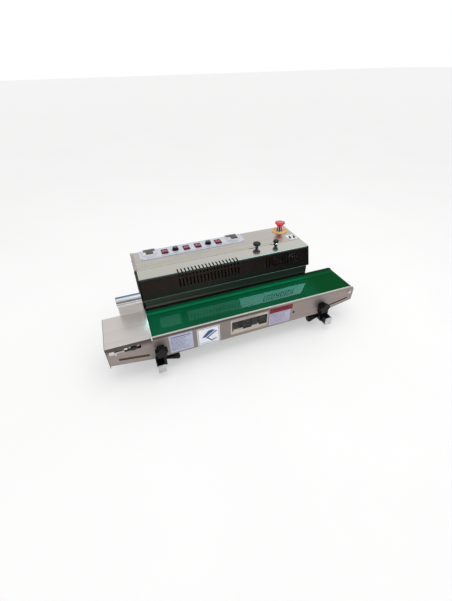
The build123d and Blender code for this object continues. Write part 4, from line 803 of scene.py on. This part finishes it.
def dial_scale(name):
    """A printed scale of ticks round a speed dial, from low to high."""
    ticks = on_top(*centre(name).xy)
    ticks_in_all, first, pitch, half_width = 11, 225.0, 27.0, 0.0003
    for step in range(ticks_in_all):
        angle = math.radians(first - pitch * step)
        direction = Vector((math.cos(angle), math.sin(angle)))
        across = Vector((-direction.y, direction.x)) * half_width
        inner = direction * 0.0128
        outer = direction * (0.0158 if step % 5 == 0 else 0.0146)
        corners = [inner - across, outer - across, outer + across, inner + across]
        ticks.solid([(corner.x, corner.y) for corner in corners], 0.0, 0.00015)
    ticks.make(f"{name}_scale", "ink_blue", "sealing_head", "white_plate")


def dial_cap(name):
    """The dial's inlaid top with its pointer line."""
    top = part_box(name)[1].z
    inlay = on_top(*centre(name).xy, top)
    inlay.disc(0.0, 0.0, 0.0066, 0.0, 0.0003, 32)
    inlay.make(f"{name}_inlay", "cap_dull", name, "black_plastic")
    pointer = on_top(*centre(name).xy, top)
    pointer.box((-0.0005, 0.0005), (0.0015, 0.0064), 0.0003, 0.0005)
    pointer.make(f"{name}_pointer", "ink_white", name, "black_plastic")


def rocker_legend(name):
    """The on and off marks, moulded on the rocker's dished top."""
    rest_tilt = math.radians(-10.0)
    pivot = Vector((centre(name).x, centre("rocker_frames").y, PANEL_HIGH.z - 0.0005))
    up = Vector((0, math.cos(rest_tilt), math.sin(rest_tilt)))
    marks = Outline(pivot, (1, 0, 0), up)
    marks.box((-0.0006, 0.0006), (0.0050, 0.0092), 0.0036, 0.0047)
    marks.disc(0.0, -0.0070, 0.0024, 0.0036, 0.0047, 24, 0.0015)
    marks.make(f"{name}_marks", "ink_rose", name, "rocker_red")


def panel_print():
    """A thin border, and plain rules under the switches where the real panel has its captions."""
    captions = on_top()
    for name in ("rocker_1", "dial_a", "rocker_2", "rocker_3", "dial_b", "rocker_4"):
        x = centre(name).x
        captions.box((x - 0.008, x + 0.008), (0.1290, 0.1303), 0.0, 0.00012)
    for x in CONTROLLERS.values():
        captions.box((x - 0.014, x + 0.014), (0.1302, 0.1316), 0.0, 0.00012)
    captions.make("panel_captions", "ink_blue", "sealing_head", "white_plate")
    edge = on_top()
    across = inset((PANEL_LOW.x, PANEL_HIGH.x), 0.006)
    edge.border(across, (PANEL_LOW.y + 0.0082, PANEL_HIGH.y - 0.0030), 0.0005, 0.0, 0.0001)
    edge.make("panel_border", "ink_grey", "sealing_head", "white_plate")


def panel_screws():
    """A small slotted screw in each corner of the control plate."""
    heads = on_top()
    slots = on_top()
    head_top = 0.0010
    for x in inset((PANEL_LOW.x, PANEL_HIGH.x), 0.0055):
        for y in inset((PANEL_LOW.y, PANEL_HIGH.y), 0.0048):
            heads.disc(x, y, 0.0024, 0.0, head_top, 24)
            slots.box((x - 0.0018, x + 0.0018), (y - 0.0003, y + 0.0003), head_top, head_top + 0.00005)
    heads.make("panel_screws", "zinc_steel", "sealing_head", "zinc_steel", 0.0004)
    slots.make("panel_screw_slots", "ink_black", "sealing_head", "zinc_steel")


# ---------------------------------------------------------------- head and conveyor details
def head_sticker():
    """A white sticker with two plain rounded marks."""
    sheet = on_top(z=HEAD_Z)
    sheet.box((0.280, 0.316), (0.066, 0.102), 0.0, STICKER, 0.006)
    sheet.make("head_sticker", "sticker_white", "sealing_head", "white_plate")
    marks = on_top(z=HEAD_Z)
    for u in (0.2885, 0.3055):
        outline = [(u - 0.0066, 0.0745), (u - 0.0026, 0.0706), (u + 0.0052, 0.0755)]
        outline += [(u + 0.0066, 0.0930), (u + 0.0026, 0.0966), (u - 0.0014, 0.0850)]
        marks.solid(outline, STICKER, STICKER * 1.4)
    marks.make("head_sticker_marks", "ink_black", "sealing_head", "white_plate")


def estop_arrows():
    """Two plain arcs on the stop button's crown, where the real one has its twist arrows."""
    arcs = on_top(*centre("estop_head").xy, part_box("estop_head")[1].z)
    for start in (20.0, 200.0):
        for step in range(8):
            angles = [math.radians(start + 14.0 * (step + shift)) for shift in (0, 1)]
            arcs.wedge((0.0, 0.0), (0.0092, 0.0108), angles, -0.0012, -0.00035)
    arcs.make("estop_arrows", "ink_white", "estop_head", "estop_red")


def lip_line():
    """A painted highlight: the thin bright edge of the cover's folded lip."""
    trim = on_front(COVER_LOW.y)
    lip = (COVER_LOW.z + 0.0009, COVER_LOW.z + 0.0025)
    trim.box(inset((COVER_LOW.x, COVER_HIGH.x), 0.001), lip, -0.0008, 0.0)
    trim.make("cover_lip_edge", "lip_highlight", "front_cover", "mirror_dark", 0.0002)


def slot_shades():
    """Painted shade: dark strips just behind the two tapered slots, where the inside of the conveyor is
    unlit.
    """
    # The right one starts clear of the lock knob's stem, whatever height the conveyor is at.
    for name, look, start, end, half in (
        ("left_slot_shade", "slot_shade_umber", (-0.400, 0.0975), (-0.303, 0.0825), 0.0055),
        ("right_slot_shade", "slot_shade_black", (0.322, 0.0869), (0.414, 0.1035), 0.0040),
    ):
        shade = on_front(PLATE_Y + 0.0021)
        corners = [(start[0], start[1] - half), (end[0], end[1] - half)]
        corners += [(end[0], end[1] + half), (start[0], start[1] + half)]
        shade.solid(corners, -0.0006, 0.0)
        shade.make(name, look, "conveyor", "black_paint")


def guard_stop():
    """The small black stop at the left end of the lower guard."""
    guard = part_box("lower_guard")[0]
    stop = on_front(guard.y)
    left, foot = guard.x - 0.0005, BELT_TOP + 0.0075
    stop.box((left, left + 0.0075), (foot, foot + 0.0220), -0.0004, 0.0008, 0.0003)
    stop.make("guard_stop", "black_plastic", "sealing_head", "black_plastic", 0.0004)


instruction_label()
picture_label()
rating_plate()
notice_label()
for controller_name in CONTROLLERS:
    controller_face(controller_name)
for add_to_dial in (dial_scale, dial_cap):
    for dial_name in ("dial_a", "dial_b"):
        add_to_dial(dial_name)
for rocker_number in (1, 2, 3, 4):
    rocker_legend(f"rocker_{rocker_number}")
panel_print()
panel_screws()
head_sticker()
estop_arrows()
lip_line()
slot_shades()
guard_stop()


# ---------------------------------------------------------------- floor, light and camera
def staged_sheet(name, corners, finish):
    """A flat sheet of the set, which isn't part of the object."""
    mesh = bpy.data.meshes.new(name)
    mesh.from_pydata(corners, [], [(0, 1, 2, 3)])
    sheet = bpy.data.objects.new(name, mesh)
    bpy.context.scene.collection.objects.link(sheet)
    sheet.data.materials.append(finish.material)
    return sheet


def floor():
    """A wide pale floor that glows a little, to stay as white as the background."""
    half = 40.0
    pale = Finish("pale_floor", (0.93, 0.93, 0.925), roughness=0.8)
    tone = pale.noise((2.0, 2.0, 2.0), detail=3.0)
    pale.paint(pale.mix(tone, (0.60, 0.60, 0.597), (0.625, 0.625, 0.622)))
    pale.shader.inputs["Emission Color"].default_value = (1.0, 1.0, 1.0, 1.0)
    pale.shader.inputs["Emission Strength"].default_value = 0.40
    staged_sheet("floor", [(-half, -half, 0), (half, -half, 0), (half, half, 0), (-half, half, 0)], pale)


def soft_light(name, place, target, size, power, colour=(1.0, 1.0, 1.0)):
    lamp = bpy.data.lights.new(name, "AREA")
    lamp.shape = "RECTANGLE"
    lamp.size, lamp.size_y = size
    lamp.energy = power
    lamp.color = colour
    made = bpy.data.objects.new(name, lamp)
    bpy.context.scene.collection.objects.link(made)
    made.location = place
    aim = Vector(target) - Vector(place)
    made.rotation_mode = "QUATERNION"
    made.rotation_quaternion = aim.to_track_quat("-Z", "Y")
    return made


def dark_card():
    """A dark brown studio flag in front, seen only in polished metal."""
    left, right, front, height = -1.6, 2.2, -1.25, 0.95
    brown = Finish("card_brown", (0.30, 0.22, 0.19), roughness=0.9)
    patchy = brown.mix(brown.noise((3.0, 3.0, 3.0)), (0.20, 0.15, 0.13), (0.26, 0.195, 0.17))
    right_side = brown.remap(brown.axis("X"), 0.2, 0.9, 0.0, 0.7)
    brown.paint(brown.mix(right_side, patchy, (0.05, 0.04, 0.04)))
    corners = [(left, front, 0.0), (right, front, 0.0), (right, front, height), (left, front, height)]
    card = staged_sheet("dark_card", corners, brown)
    card.visible_camera = False
    card.visible_diffuse = False
    card.visible_shadow = False


def cover_windows():
    """Soft windows overhead that are mirrored in the polished cover, and from there in the belt."""
    teal = (0.50, 0.94, 1.0)
    y, z, depth = -0.42, 1.60, 0.30
    seen_in = bpy.data.collections.new("window_mirrors")
    seen_in.objects.link(NODES["front_cover"])
    for name, x, width, glow in (
        ("belt_window", 0.840, 0.66, 305.0),
        ("middle_window", 0.290, 0.50, 90.0),
        ("infeed_window", -0.105, 0.17, 90.0),
    ):
        power = glow * math.pi * width * depth
        lamp = soft_light(name, (x, y, z), (x, -0.01, 0.2), (width, depth), power, teal)
        lamp.visible_diffuse = False
        lamp.light_linking.receiver_collection = seen_in


def studio():
    """A pale room: bright walls, a dimmer ceiling and one soft light overhead."""
    wall_level, ceiling_level = 0.25, 0.95
    wall_glow, ceiling_glow = 1.0, 0.60
    world = bpy.data.worlds.new("studio")
    bpy.context.scene.world = world
    world.use_nodes = True
    tree = world.node_tree
    background = tree.nodes["Background"]
    background.inputs["Color"].default_value = (1.0, 1.0, 1.0, 1.0)
    place = tree.nodes.new("ShaderNodeTexCoord")
    split = tree.nodes.new("ShaderNodeSeparateXYZ")
    shade = tree.nodes.new("ShaderNodeMapRange")
    shade.interpolation_type = "SMOOTHSTEP"
    tree.links.new(place.outputs["Generated"], split.inputs[0])
    tree.links.new(split.outputs["Z"], shade.inputs[0])
    for index, value in enumerate((wall_level, ceiling_level, wall_glow, ceiling_glow), start=1):
        shade.inputs[index].default_value = value
    tree.links.new(shade.outputs["Result"], background.inputs["Strength"])
    soft_light("overhead", (0.10, -0.25, 1.9), (0.0, 0.0, 0.1), (1.6, 1.2), 10.0)
    cover_windows()
    bpy.context.scene.view_settings.view_transform = "Standard"


def camera():
    """The photo's viewpoint: left of the machine, in front of it and above."""
    place, heading, tilt, roll = (-0.2933, -0.8346, 0.7808), 19.236, 37.745, -1.500
    lens = bpy.data.cameras.new("camera")
    lens.sensor_width = 36.0
    lens.lens = 18.25
    made = bpy.data.objects.new("camera", lens)
    bpy.context.scene.collection.objects.link(made)
    turned = Matrix.Rotation(math.radians(-heading), 4, "Z")
    lowered = Matrix.Rotation(math.radians(90.0 - tilt), 4, "X")
    rolled = Matrix.Rotation(math.radians(roll), 4, "Z")
    made.matrix_world = Matrix.Translation(place) @ turned @ lowered @ rolled
    bpy.context.scene.camera = made


floor()
dark_card()
studio()
camera()
